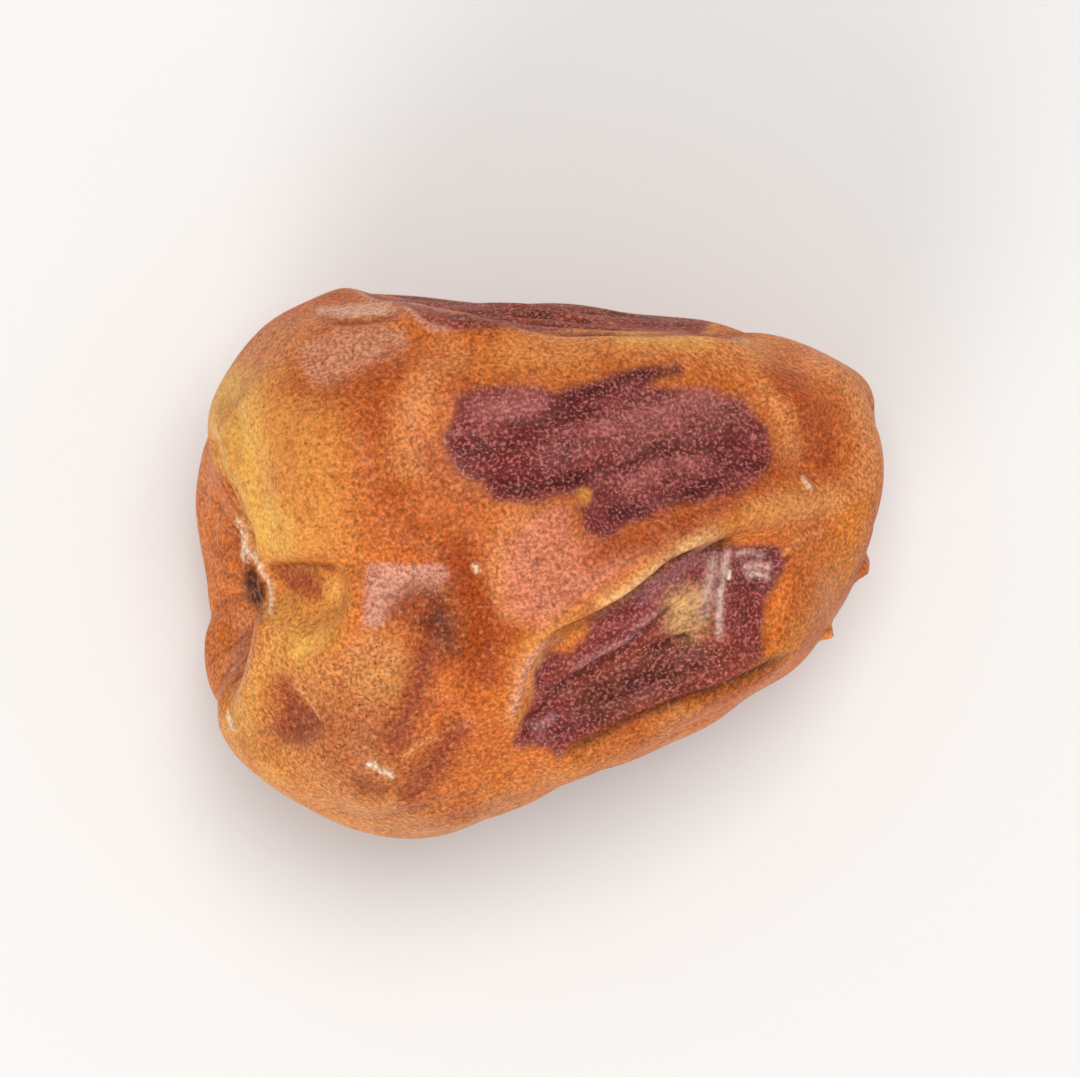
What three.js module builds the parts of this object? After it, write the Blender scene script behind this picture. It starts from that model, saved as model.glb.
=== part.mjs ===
// A dried sukkari date, lying on its side: one solid fruit with no cap and no stalk.
// Its thin skin has puffed away from the flesh in broad golden ridges, and between them it has
// sunk on to the flesh in hollow windows. The broad end is drawn in to the pit the cap left.
// +X runs from the cap end to the tip, +Y to the far side and +Z up, in millimetres.
import * as THREE from "three";
import { mergeVertices } from "three/addons/utils/BufferGeometryUtils.js";

// Driving dimensions of the finished fruit.
const LENGTH = 35.4;
const WIDTH = 27.8;
const HEIGHT = 24.8;
const FLAT_DEPTH = 0.45; // how far its own weight has flattened the underside
const CELLS = 28; // cells along each edge of the cube that is wrapped on to the fruit

// The spine runs from the bottom of the cap pit to the tip.
const SPINE_START = new THREE.Vector3(-12.9, 0.0, 13.2);
const SPINE_END = new THREE.Vector3(17.5, 2.6, 9.4);

// Four lengthwise outlines, from the cap pit to the tip in even steps. The first two give X and Y,
// as seen from above, and the other two X and Z, as seen from the side.
const FAR_SIDE = [
  [-12.9, 0.0], [-15.0, 3.5], [-15.6, 7.8], [-13.5, 11.9], [-8.2, 13.9], [-2.3, 12.9], [3.4, 11.6],
  [9.0, 9.8], [13.9, 7.5], [17.2, 5.5], [17.5, 2.6],
];
const NEAR_SIDE = [
  [-12.9, 0.0], [-15.4, -3.3], [-17.5, -6.3], [-15.3, -11.0], [-9.9, -14.3], [-3.3, -13.8],
  [2.5, -12.3], [8.2, -10.5], [12.8, -7.6], [16.3, -3.3], [17.5, 2.6],
];
const TOP_SIDE = [
  [-12.9, 13.2], [-13.7, 16.0], [-13.7, 19.4], [-11.4, 22.8], [-7.0, 24.6], [-1.4, 24.3],
  [4.2, 22.8], [9.4, 20.4], [13.6, 17.3], [16.6, 13.4], [17.5, 9.4],
];
const UNDER_SIDE = [
  [-12.9, 13.2], [-16.0, 9.8], [-17.3, 6.2], [-15.0, 2.6], [-10.2, 0.4], [-4.6, -0.3],
  [1.2, -0.3], [7.0, 0.2], [12.4, 1.8], [16.4, 5.2], [17.5, 9.4],
];
const SQUARENESS = 0.08; // how much fuller the sections are at their corners than an ellipse

// The directions that the surface relief is laid out from. Each gives the two axes that its
// outlines are drawn on, and the way the skin must face for them to reach it.
const X = new THREE.Vector3(1, 0, 0);
const Y = new THREE.Vector3(0, 1, 0);
const Z = new THREE.Vector3(0, 0, 1);
const VIEWS = {
  above: { across: X, up: Y, facing: Z },
  below: { across: X, up: Y, facing: Z.clone().negate() },
  farSide: { across: X, up: Z, facing: Y },
  nearSide: { across: X, up: Z, facing: Y.clone().negate() },
  capEnd: { across: Y, up: Z, facing: X.clone().negate() },
  tipEnd: { across: Y, up: Z, facing: X },
};
const FADE_START = 0.08; // the relief starts where the skin faces its view by this much
const FADE_END = 0.4; // and is whole from here on

const smoothstep = (low, high, value) => THREE.MathUtils.smoothstep(value, low, high);

// A smooth curve through the given points, as a run of short straight steps.
const STEPS_PER_POINT = 5;
function curvePoints(points, closed) {
  const corners = points.map(([a, b]) => new THREE.Vector3(a, b, 0));
  const curve = new THREE.CatmullRomCurve3(corners, closed, "catmullrom", 0.5);
  return curve.getPoints(points.length * STEPS_PER_POINT);
}

// How far a point lies from a curve, and how far along the curve the nearest place is.
function nearest(curve, a, b) {
  const found = { distance: Infinity, along: 0 };
  for (let i = 0; i + 1 < curve.length; i++) {
    const [p, q] = [curve[i], curve[i + 1]];
    const [dx, dy] = [q.x - p.x, q.y - p.y];
    const share = ((a - p.x) * dx + (b - p.y) * dy) / (dx * dx + dy * dy);
    const t = THREE.MathUtils.clamp(share, 0, 1);
    const distance = Math.hypot(a - p.x - t * dx, b - p.y - t * dy);
    if (distance < found.distance) {
      found.distance = distance;
      found.along = (i + t) / (curve.length - 1);
    }
  }
  return found;
}

// Whether a point lies inside a closed curve.
function inside(curve, a, b) {
  let crossings = 0;
  for (let i = 0; i + 1 < curve.length; i++) {
    const [p, q] = [curve[i], curve[i + 1]];
    const spans = p.y > b !== q.y > b;
    if (spans && a < p.x + ((b - p.y) * (q.x - p.x)) / (q.y - p.y)) crossings++;
  }
  return crossings % 2 === 1;
}

// A patch of skin inside an outline, raised by tall (or sunk, if it is negative) over a bank as
// wide as edge.
function patch(view, tall, edge, outline) {
  const curve = curvePoints(outline, true);
  const height = (a, b) => {
    const { distance } = nearest(curve, a, b);
    const inward = inside(curve, a, b) ? distance : -distance;
    return tall * smoothstep(-edge / 2, edge / 2, inward);
  };
  return { view, height };
}

// A ridge along a path (or a furrow, if its height is negative), which fades at its ends.
const TAPER = 0.16; // the share of a path that each faded end takes
function ridge(view, tall, width, path) {
  const curve = curvePoints(path, false);
  const height = (a, b) => {
    const { distance, along } = nearest(curve, a, b);
    const taper = smoothstep(0, TAPER, along) * smoothstep(0, TAPER, 1 - along);
    return tall * taper * Math.exp(-((distance / width) ** 2));
  };
  return { view, height };
}

// The broad golden ridges and swellings seen from above.
const SHOULDER = [[-13.2, 9.0], [-9.8, 9.0], [-6.8, 7.2], [-6.6, 4.0], [-8.2, 1.4], [-11.0, 1.0],
  [-13.4, 1.8], [-14.0, 5.4]];
const SALMON_SWELLING = [[-2.2, -1.0], [-0.6, 1.2], [1.8, 1.4], [3.4, -0.6], [5.0, -1.8],
  [2.6, -3.0], [-0.2, -4.2], [-2.0, -3.2]];
const NEAR_LOBE = [[-14.2, -9.4], [-11.2, -6.2], [-8.6, -6.4], [-6.8, -9.6], [-8.6, -12.4],
  [-12.0, -12.0]];
const DIAGONAL_RIDGE = [[-2.8, -7.4], [-1.4, -5.2], [1.4, -4.2], [4.0, -3.1], [6.4, -1.9],
  [9.0, -0.9], [12.6, -0.3], [15.8, 0.2]];
const NEAR_CREST = [[-3.4, -10.6], [0.2, -11.2], [4.8, -10.1], [9.2, -8.8], [13.4, -6.8]];
const FAR_CREST = [[-6.6, 12.6], [-4.0, 11.2], [-0.4, 10.6], [4.0, 10.0], [9.4, 9.0], [13.4, 7.4]];
const TIP_RIM = [[14.6, 6.6], [16.2, 5.0], [16.8, 2.4], [16.2, -0.6], [14.8, -2.6]];
const DENT_RIM = [[-9.8, 0.2], [-9.5, -1.8], [-10.2, -3.6], [-12.4, -4.6]];
const RAISED_ABOVE = [
  patch("above", 0.5, 3.4, SHOULDER),
  patch("above", 0.55, 1.2, SALMON_SWELLING),
  patch("above", 0.35, 3.0, NEAR_LOBE),
  ridge("above", 0.75, 0.9, DIAGONAL_RIDGE),
  ridge("above", 0.5, 1.1, NEAR_CREST),
  ridge("above", 0.5, 0.9, FAR_CREST),
  ridge("above", 0.35, 0.8, TIP_RIM),
  ridge("above", 0.4, 0.7, DENT_RIM),
];

// The sunken windows, dents and furrows seen from above.
const UPPER_WINDOW = [[-3.4, 7.2], [1.6, 7.4], [6.6, 7.4], [9.8, 5.8], [12.0, 3.4], [9.4, 1.6],
  [5.6, 0.5], [2.2, -0.1], [1.8, 1.8], [-0.6, 2.2], [-2.8, 3.4], [-3.8, 5.2]];
const LOWER_WINDOW = [[-2.4, -9.8], [-1.5, -7.2], [-0.4, -5.5], [2.8, -4.5], [6.2, -2.7],
  [9.0, -1.6], [11.2, -2.4], [11.2, -4.4], [9.8, -7.2], [6.4, -8.2], [2.4, -9.3], [-0.8, -10.3]];
const UPPER_RIB = [[-2.0, 4.4], [2.4, 4.3], [6.6, 4.5], [10.8, 4.0]];
const LOWER_RIB = [[-2.0, -9.0], [1.0, -6.9], [4.6, -5.3], [8.4, -3.4]];
const ORANGE_VALLEY = [[-5.5, 8.6], [-6.0, 5.2], [-5.6, 2.4], [-3.7, 0.6], [-3.0, -2.0],
  [-3.4, -5.0], [-5.0, -8.0]];
const CAP_DENT = [[-13.8, 0.4], [-11.4, 0.3], [-10.2, -0.8], [-10.8, -2.4], [-12.6, -2.8],
  [-14.0, -1.4]];
const MAUVE_DENT = [[-8.2, -0.4], [-5.2, -0.9], [-4.9, -2.4], [-5.2, -4.4], [-7.0, -3.8],
  [-8.4, -2.2]];
const MAUVE_TRAIL = [[-5.6, -3.0], [-6.6, -5.2], [-7.6, -7.2], [-8.8, -9.4]];
const CORNER_DENT = [[-13.4, -5.0], [-12.2, -7.2], [-13.0, -8.6], [-14.4, -8.2], [-14.0, -6.4]];
const NEAR_STRIP = [[-5.2, -7.8], [-6.4, -9.5], [-7.8, -10.9], [-9.0, -12.0]];
const FAR_OVAL = [[-10.0, 9.8], [-7.2, 11.4], [-4.6, 11.0], [-6.4, 9.6], [-9.0, 9.2]];
const TIP_DIMPLE = [[13.2, 3.2], [15.0, 3.4], [15.4, 1.4], [14.0, 0.6], [12.8, 1.6]];
const SUNK_ABOVE = [
  patch("above", -0.45, 2.4, UPPER_WINDOW),
  patch("above", -1.0, 1.5, LOWER_WINDOW),
  ridge("above", 0.2, 0.8, UPPER_RIB),
  ridge("above", 0.3, 0.8, LOWER_RIB),
  ridge("above", -0.55, 1.5, ORANGE_VALLEY),
  patch("above", -0.9, 1.4, CAP_DENT),
  patch("above", -0.45, 2.2, MAUVE_DENT),
  ridge("above", -0.4, 0.9, MAUVE_TRAIL),
  patch("above", -0.25, 1.8, CORNER_DENT),
  ridge("above", -0.3, 1.0, NEAR_STRIP),
  patch("above", -0.25, 1.0, FAR_OVAL),
  patch("above", -0.4, 1.6, TIP_DIMPLE),
];

// The far flank has a long ribbed window under its crest, then a fold and a narrow lower window.
const FAR_WINDOW = [
  [-7.2, 13.0], [-6.0, 16.6], [-3.4, 19.2], [1.0, 20.0], [5.0, 19.0], [9.0, 16.8], [12.0, 13.4],
  [9.6, 9.6], [2.8, 8.4], [-4.0, 9.0],
];
const FAR_RIBS = [
  [[-5.2, 14.4], [0.0, 15.8], [5.4, 15.2], [10.0, 13.4]],
  [[-4.8, 11.6], [1.0, 12.0], [6.6, 11.6], [10.6, 11.4]],
];
const FAR_FOLD = [[-10.0, 8.2], [-4.4, 6.8], [1.6, 6.4], [7.6, 6.8], [13.4, 8.8]];
const FAR_LOWER = [
  [-7.0, 4.8], [-1.6, 4.6], [4.4, 4.6], [8.6, 5.4], [6.4, 3.0], [0.6, 2.0], [-5.4, 2.6],
];
const FAR_CORNER = [[-12.4, 5.2], [-10.8, 9.0], [-8.8, 8.4], [-8.6, 5.2], [-10.6, 3.6]];
const FAR_FLANK = [
  patch("farSide", -0.7, 2.0, FAR_WINDOW),
  ...FAR_RIBS.map((path) => ridge("farSide", 0.3, 0.7, path)),
  ridge("farSide", 0.35, 1.0, FAR_FOLD),
  patch("farSide", -0.4, 1.6, FAR_LOWER),
  patch("farSide", -0.4, 1.6, FAR_CORNER),
];

// The near flank is folded lengthwise below the outline.
const NEAR_WINDOW = [
  [-8.4, 9.0], [-3.0, 10.2], [3.2, 10.0], [8.6, 9.0], [10.4, 7.4], [5.6, 5.2], [-1.0, 4.4], [-6.8, 5.6],
];
const NEAR_RIB = [[-6.8, 7.4], [-1.4, 7.6], [4.2, 7.4], [8.8, 7.4]];
const NEAR_FOLD = [[-11.6, 4.4], [-6.4, 2.8], [0.0, 2.4], [6.4, 2.8], [11.2, 4.2]];
const NEAR_CORNER = [[-14.2, 8.6], [-12.0, 10.4], [-10.4, 8.8], [-11.6, 6.0], [-13.6, 6.2]];
const NEAR_FLANK = [
  patch("nearSide", -0.7, 2.0, NEAR_WINDOW),
  ridge("nearSide", 0.45, 0.8, NEAR_RIB),
  ridge("nearSide", -0.4, 0.9, NEAR_FOLD),
  patch("nearSide", -0.4, 1.6, NEAR_CORNER),
];

// Two windows on the underside leave the middle, which the fruit lies on, standing lowest.
const UNDER_WINDOWS = [
  [[-9.4, 5.6], [-4.2, 8.6], [2.6, 8.8], [9.4, 6.6], [10.8, 4.4], [4.0, 4.8], [-3.0, 5.2],
    [-8.4, 4.0]],
  [[-10.4, -6.0], [-5.4, -9.4], [1.4, -9.6], [7.6, -8.0], [8.2, -5.8], [2.0, -6.2],
    [-4.4, -6.2], [-9.4, -4.8]],
];
const UNDER_FURROWS = [
  [[-13.0, 2.0], [-12.2, 4.6], [-10.0, 6.8]],
  [[8.6, -2.6], [11.6, -1.4], [14.6, 0.0]],
];
const UNDERSIDE = [
  ...UNDER_WINDOWS.map((outline) => patch("below", -0.65, 1.8, outline)),
  ...UNDER_FURROWS.map((path) => ridge("below", -0.4, 1.0, path)),
];

// The cap end is drawn in to a lens-shaped pit under a raised lip, in uneven radial pleats.
const PIT = [[-3.2, 13.4], [-1.2, 14.6], [1.4, 14.6], [3.2, 13.6], [1.6, 12.2], [-1.4, 12.1]];
const LIP = [[-7.0, 14.0], [-5.4, 17.6], [-2.8, 19.4], [-0.4, 18.6], [2.8, 19.6], [5.8, 18.8],
  [8.2, 16.2], [9.2, 13.0]];
const LIP_CREASE = [[-5.6, 13.8], [-4.2, 16.4], [-2.0, 17.6], [-0.2, 17.0], [2.4, 17.8],
  [4.8, 17.0], [6.8, 14.8], [7.6, 12.4]];
const PLEATS = 11;
const PLEAT_DEPTH = 0.22;
const PLEAT_WIDTH = 0.65;
const PLEAT_START = 2.6; // distances from the middle of the pit
const PLEAT_LENGTH = 4.2;
const PLEAT_LEAN = 0.06; // how far each one bows sideways, in radians
const PIT_MIDDLE = 13.4; // its height above the surface
function pleat(index) {
  const turn = (index / PLEATS) * 2 * Math.PI + 0.3 * Math.sin(3.1 * index);
  const reach = PLEAT_START + PLEAT_LENGTH * (1 + 0.3 * Math.cos(2.3 * index));
  const at = (radius, lean) => [
    radius * Math.cos(turn + lean), PIT_MIDDLE + radius * Math.sin(turn + lean)];
  return [at(PLEAT_START, 0), at((PLEAT_START + reach) / 2, PLEAT_LEAN), at(reach, 0)];
}
const LOWER_LIP = [[-7.2, 9.6], [-3.4, 6.8], [1.0, 6.0], [5.4, 7.4], [8.4, 10.6]];
const CAP_END = [
  patch("capEnd", -0.8, 2.0, PIT),
  ridge("capEnd", 0.4, 0.9, LIP),
  ridge("capEnd", -0.4, 0.7, LIP_CREASE),
  ...Array.from({ length: PLEATS }, (_, i) => ridge("capEnd", -PLEAT_DEPTH, PLEAT_WIDTH, pleat(i))),
  ridge("capEnd", 0.35, 1.2, LOWER_LIP),
];

// The tip has a small scar with a furrow running away on either side.
const SCAR = [[1.6, 9.4], [2.6, 10.4], [3.6, 9.4], [2.6, 8.4]];
const SCAR_FURROWS = [
  [[-2.8, 11.2], [0.0, 10.2], [2.6, 9.4]],
  [[2.6, 9.4], [4.4, 7.8], [5.6, 5.6]],
];
const TIP_END = [
  patch("tipEnd", -0.35, 1.6, SCAR),
  ...SCAR_FURROWS.map((path) => ridge("tipEnd", -0.3, 0.7, path)),
];

const RELIEF = [
  ...RAISED_ABOVE, ...SUNK_ABOVE, ...FAR_FLANK, ...NEAR_FLANK, ...UNDERSIDE, ...CAP_END, ...TIP_END,
];

// The slow unevenness of the whole skin: sine waves across the fruit in several directions.
const WAVES = [
  { tall: 0.14, along: new THREE.Vector3(0.62, 0.31, 0.22), start: 0.4 },
  { tall: 0.12, along: new THREE.Vector3(-0.36, 0.71, 0.45), start: 2.1 },
  { tall: 0.1, along: new THREE.Vector3(0.25, -0.52, 0.93), start: 4.0 },
  { tall: 0.07, along: new THREE.Vector3(1.05, 0.66, -0.57), start: 1.2 },
];
const unevenness = (point) =>
  WAVES.reduce((sum, w) => sum + w.tall * Math.sin(w.along.dot(point) + w.start), 0);

// A place partway along one outline, by a smooth curve through its points.
function outlineAt(outline, share) {
  const last = outline.length - 1;
  const at = Math.min(share * last, last - 1e-6);
  const i = Math.floor(at);
  // Past either end the outline runs on into its own reflection, so that it crosses the spine
  // squarely.
  const point = (k) => {
    if (k < 0) return [outline[-k][0], 2 * outline[0][1] - outline[-k][1]];
    if (k > last) return [outline[2 * last - k][0], 2 * outline[last][1] - outline[2 * last - k][1]];
    return outline[k];
  };
  const [p0, p1, p2, p3] = [point(i - 1), point(i), point(i + 1), point(i + 2)];
  const t = at - i;
  return [0, 1].map((j) => {
    const slope1 = (p2[j] - p0[j]) / 2;
    const slope2 = (p3[j] - p1[j]) / 2;
    const bend = 2 * (p1[j] - p2[j]) + slope1 + slope2;
    const lean = 3 * (p2[j] - p1[j]) - 2 * slope1 - slope2;
    return ((bend * t + lean) * t + slope1) * t + p1[j];
  });
}

// The smooth form, before the relief: a direction on the unit sphere becomes a place on it.
function formPoint(direction) {
  const share = Math.acos(THREE.MathUtils.clamp(-direction.x, -1, 1)) / Math.PI;
  const turn = Math.atan2(direction.z, direction.y);
  const [c, s] = [Math.cos(turn), Math.sin(turn)];
  const [sideX, sideY] = outlineAt(c > 0 ? FAR_SIDE : NEAR_SIDE, share);
  const [deckX, deckZ] = outlineAt(s > 0 ? TOP_SIDE : UNDER_SIDE, share);
  const spine = new THREE.Vector3().lerpVectors(SPINE_START, SPINE_END, share);
  const fuller = 1 + SQUARENESS * (2 * c * s) ** 2;
  return new THREE.Vector3(
    sideX * c * c + deckX * s * s,
    spine.y + (sideY - spine.y) * Math.abs(c) * fuller,
    spine.z + (deckZ - spine.z) * Math.abs(s) * fuller);
}

// The relief at a place on the smooth form, as a distance along the skin's own normal.
function reliefAt(place, normal) {
  return RELIEF.reduce((sum, feature) => {
    const view = VIEWS[feature.view];
    const fade = smoothstep(FADE_START, FADE_END, normal.dot(view.facing));
    if (fade === 0) return sum;
    return sum + fade * feature.height(place.dot(view.across), place.dot(view.up));
  }, unevenness(place));
}

// A cube whose cells are spread evenly over a sphere, as one closed skin of shared vertices.
function sphereOfCells(cells) {
  const cube = new THREE.BoxGeometry(2, 2, 2, cells, cells, cells);
  cube.deleteAttribute("normal");
  cube.deleteAttribute("uv");
  const merged = mergeVertices(cube);
  const position = merged.getAttribute("position");
  for (let i = 0; i < position.count; i++) {
    const corner = new THREE.Vector3().fromBufferAttribute(position, i).toArray();
    const spread = corner.map((value) => Math.tan((value * Math.PI) / 4));
    position.setXYZ(i, ...new THREE.Vector3(...spread).normalize().toArray());
  }
  return merged;
}

// Scales the fruit to its driving dimensions, sets it down on Z = 0 in the middle of X and Y,
// and flattens what would lie below.
function setDown(geometry) {
  geometry.computeBoundingBox();
  const box = geometry.boundingBox;
  const middle = box.getCenter(new THREE.Vector3());
  const size = box.getSize(new THREE.Vector3());
  geometry.translate(-middle.x, -middle.y, -box.min.z);
  geometry.scale(LENGTH / size.x, WIDTH / size.y, (HEIGHT + FLAT_DEPTH) / size.z);
  geometry.translate(0, 0, -FLAT_DEPTH);
  const position = geometry.getAttribute("position");
  for (let i = 0; i < position.count; i++) position.setZ(i, Math.max(position.getZ(i), 0));
}

function fruitGeometry() {
  const geometry = sphereOfCells(CELLS);
  const position = geometry.getAttribute("position");
  for (let i = 0; i < position.count; i++) {
    const direction = new THREE.Vector3().fromBufferAttribute(position, i);
    position.setXYZ(i, ...formPoint(direction).toArray());
  }
  geometry.computeVertexNormals();
  const normals = geometry.getAttribute("normal");
  for (let i = 0; i < position.count; i++) {
    const place = new THREE.Vector3().fromBufferAttribute(position, i);
    const normal = new THREE.Vector3().fromBufferAttribute(normals, i);
    place.addScaledVector(normal, reliefAt(place.clone(), normal));
    position.setXYZ(i, ...place.toArray());
  }
  setDown(geometry);
  geometry.computeVertexNormals();
  return geometry;
}

const skin = new THREE.MeshStandardMaterial({ color: 0xc4803f, roughness: 0.5, metalness: 0 });
const fruit = new THREE.Mesh(fruitGeometry(), skin);
fruit.name = "fruit";

const date = new THREE.Group();
date.add(fruit);
export default date;
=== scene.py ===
# A dried sukkari date, lying on its side and seen from straight above. One fine closed skin takes
# the place of the plain solid: the same form, with its ridges and sunken windows, and on top of
# them the creases, wrinkles and scars that are too fine for the solid. Where the skin clings to
# the flesh it is plum, and where it has puffed away it is golden.
import math

import bpy
import numpy as np
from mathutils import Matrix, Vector


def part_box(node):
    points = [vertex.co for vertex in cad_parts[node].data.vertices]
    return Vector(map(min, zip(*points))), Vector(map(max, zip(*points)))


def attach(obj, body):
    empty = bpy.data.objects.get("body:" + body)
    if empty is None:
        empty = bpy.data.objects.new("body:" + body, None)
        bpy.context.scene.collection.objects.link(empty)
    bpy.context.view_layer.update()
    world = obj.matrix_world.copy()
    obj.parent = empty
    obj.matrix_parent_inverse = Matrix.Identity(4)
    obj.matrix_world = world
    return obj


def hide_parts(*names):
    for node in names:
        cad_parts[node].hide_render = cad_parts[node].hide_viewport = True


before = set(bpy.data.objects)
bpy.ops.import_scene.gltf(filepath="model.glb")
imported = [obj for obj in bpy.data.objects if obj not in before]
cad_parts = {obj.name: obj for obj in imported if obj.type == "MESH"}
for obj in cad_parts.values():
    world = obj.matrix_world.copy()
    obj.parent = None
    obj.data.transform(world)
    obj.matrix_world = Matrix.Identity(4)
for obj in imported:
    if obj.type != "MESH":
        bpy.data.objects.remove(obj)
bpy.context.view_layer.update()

MM = 0.001
LENGTH, WIDTH, HEIGHT = [(high - low) / MM for low, high in zip(*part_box("fruit"))]
FLAT_DEPTH = 0.45  # how far its own weight has flattened the underside
CELLS = 128  # cells along each edge of the cube that is wrapped on to the fruit
FINER_ABOVE = 0.3  # how far the cells crowd towards the top, which shows the most

# The camera looks straight down, turned so that the tip points a little above the right.
EYE_HEIGHT = 0.5
OUTLINE_HEIGHT = 12 * MM
VIEW_WIDTH = 54 * MM
PICTURE_TURN = math.radians(9)
SENSOR = 36.0

# Soft light from two discs and a white sky: where each disc stands, its width and its power, in
# metres and watts.
LIGHTS = {
    "key": ((0.1, 0.2, 0.93), 0.5, 4.6),
    "fill": ((-0.5, -0.75, 0.5), 0.7, 5),
}
SKY_STRENGTH = 0.5
FLOOR_WIDTH = 3.0
FLOOR_COLOUR = (0.82, 0.81, 0.79, 1)
FLOOR_ROUGHNESS = 0.9

# How wide the blotches of each kind of grain in the skin are, in millimetres.
CLOUD = 3.4
BLOTCH = 1.2
STREAK = 0.9
GRAIN = 0.3
DOT = 0.24
SAND = 0.18
SUGAR_GLINT = 0.14
STREAK_SCALE = (0.18, 1, 1)  # the streaks are drawn out along the fruit

# The form, as in the part's source. The spine runs from the bottom of the cap pit to the tip.
SPINE_START = (-12.9, 0.0, 13.2)
SPINE_END = (17.5, 2.6, 9.4)
FAR_SIDE = [
    (-12.9, 0.0), (-15.0, 3.5), (-15.6, 7.8), (-13.5, 11.9), (-8.2, 13.9), (-2.3, 12.9),
    (3.4, 11.6), (9.0, 9.8), (13.9, 7.5), (17.2, 5.5), (17.5, 2.6),
]
NEAR_SIDE = [
    (-12.9, 0.0), (-15.4, -3.3), (-17.5, -6.3), (-15.3, -11.0), (-9.9, -14.3), (-3.3, -13.8),
    (2.5, -12.3), (8.2, -10.5), (12.8, -7.6), (16.3, -3.3), (17.5, 2.6),
]
TOP_SIDE = [
    (-12.9, 13.2), (-13.7, 16.0), (-13.7, 19.4), (-11.4, 22.8), (-7.0, 24.6), (-1.4, 24.3),
    (4.2, 22.8), (9.4, 20.4), (13.6, 17.3), (16.6, 13.4), (17.5, 9.4),
]
UNDER_SIDE = [
    (-12.9, 13.2), (-16.0, 9.8), (-17.3, 6.2), (-15.0, 2.6), (-10.2, 0.4), (-4.6, -0.3),
    (1.2, -0.3), (7.0, 0.2), (12.4, 1.8), (16.4, 5.2), (17.5, 9.4),
]
SQUARENESS = 0.08

# The directions that the relief is laid out from: the two axes of its outlines, and the way that
# the skin faces where they reach it.
VIEWS = {
    "above": ((1, 0, 0), (0, 1, 0), (0, 0, 1)),
    "below": ((1, 0, 0), (0, 1, 0), (0, 0, -1)),
    "far side": ((1, 0, 0), (0, 0, 1), (0, 1, 0)),
    "near side": ((1, 0, 0), (0, 0, 1), (0, -1, 0)),
    "cap end": ((0, 1, 0), (0, 0, 1), (-1, 0, 0)),
    "tip end": ((0, 1, 0), (0, 0, 1), (1, 0, 0)),
    "all round": ((1, 0, 0), (0, 1, 0), None),
}

# A feature fades out where the skin turns away from its view, between these two cosines.
RELIEF_FADES = (0.08, 0.4)
TINT_FADES = (0.0, 0.2)

# What is laid all round is drawn from above too, but goes on down the flanks. It fades out between
# these two heights over the middle line of the fruit, which falls from the cap end to the tip.
MIDDLE_SLOPE = 0.125
MIDDLE_HEIGHT = 11.6
FLANK_FADES = (-7.0, 0.5)

STEPS_PER_POINT = 5  # straight steps in a smooth curve, for each of its points
TAPER = 0.16  # the share of a path that it fades out over at either end

# The colours as they look on a screen: those of the loose skin, over its orange, and those of the
# windows, where the skin clings to the flesh.
LOOSE_COLOURS = {
    "orange": (201, 106, 42),
    "ruddy": (168, 66, 16),
    "rose": (204, 124, 96),
    "peach": (226, 148, 88),
    "gold": (217, 142, 64),
    "lemon": (236, 178, 82),
    "amber": (210, 126, 30),
    "tan": (200, 136, 76),
    "face": (206, 112, 46),
    "mauve": (206, 144, 122),
    "umber": (146, 66, 40),
    "brown": (120, 50, 16),
    "dark": (58, 20, 8),
    "cream": (252, 228, 192),
}
CLING_COLOURS = {
    "plum": (126, 48, 46),
    "wine": (108, 16, 14),
    "slate": (148, 84, 76),
    "shade": (74, 16, 16),
    "lilac": (190, 136, 140),
    "frost": (230, 192, 176),
    "dust": (186, 112, 102),
    "blush": (172, 96, 90),
    "olive": (246, 194, 122),
    "bark": (148, 66, 42),
    "soot": (84, 46, 36),
}


def smoothstep(low, high, value):
    share = np.clip((value - low) / (high - low), 0.0, 1.0)
    return share * share * (3.0 - 2.0 * share)


def curve_points(points, closed):
    """A smooth curve through the given points, as a run of short straight steps."""
    points = np.array(points, dtype=float)
    count = len(points)
    if closed:
        padded = np.vstack([points[-1], points, points[:2]])
        spans = count
    else:
        padded = np.vstack([2 * points[0] - points[1], points, 2 * points[-1] - points[-2]])
        spans = count - 1
    steps = count * STEPS_PER_POINT
    at = np.linspace(0, spans, steps + 1)
    index = np.minimum(at.astype(int), spans - 1)
    share = (at - index)[:, None]
    p0, p1, p2, p3 = (padded[index + k] for k in range(4))
    return cubic(p0, p1, p2, p3, share)


def cubic(p0, p1, p2, p3, share):
    slope1 = (p2 - p0) / 2
    slope2 = (p3 - p1) / 2
    bend = 2 * (p1 - p2) + slope1 + slope2
    lean = 3 * (p2 - p1) - 2 * slope1 - slope2
    return ((bend * share + lean) * share + slope1) * share + p1


def nearest(curve, a, b):
    """How far each point lies from a curve, and how far along it the nearest place is."""
    distance = np.full(a.shape, np.inf)
    along = np.zeros(a.shape)
    spans = len(curve) - 1
    for i in range(spans):
        (px, py), (dx, dy) = curve[i], curve[i + 1] - curve[i]
        share = np.clip(((a - px) * dx + (b - py) * dy) / (dx * dx + dy * dy), 0.0, 1.0)
        reach = np.hypot(a - px - share * dx, b - py - share * dy)
        closer = reach < distance
        distance[closer] = reach[closer]
        along[closer] = (i + share[closer]) / spans
    return distance, along


def inside(curve, a, b):
    """Whether each point lies inside a closed curve."""
    odd = np.zeros(a.shape, dtype=bool)
    for (px, py), (qx, qy) in zip(curve[:-1], curve[1:]):
        if py == qy:
            continue
        spans = (py > b) != (qy > b)
        odd ^= spans & (a < px + (b - py) * (qx - px) / (qy - py))
    return odd


def patch(tall, edge, outline, view="above", **tints):
    """Skin inside an outline, raised by tall (or sunk) over a bank as wide as edge."""
    curve = curve_points(outline, closed=True)

    def shape(a, b):
        distance, _ = nearest(curve, a, b)
        inward = np.where(inside(curve, a, b), distance, -distance)
        return smoothstep(-edge / 2, edge / 2, inward)

    return view, curve, edge / 2, shape, tall, tints


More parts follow.
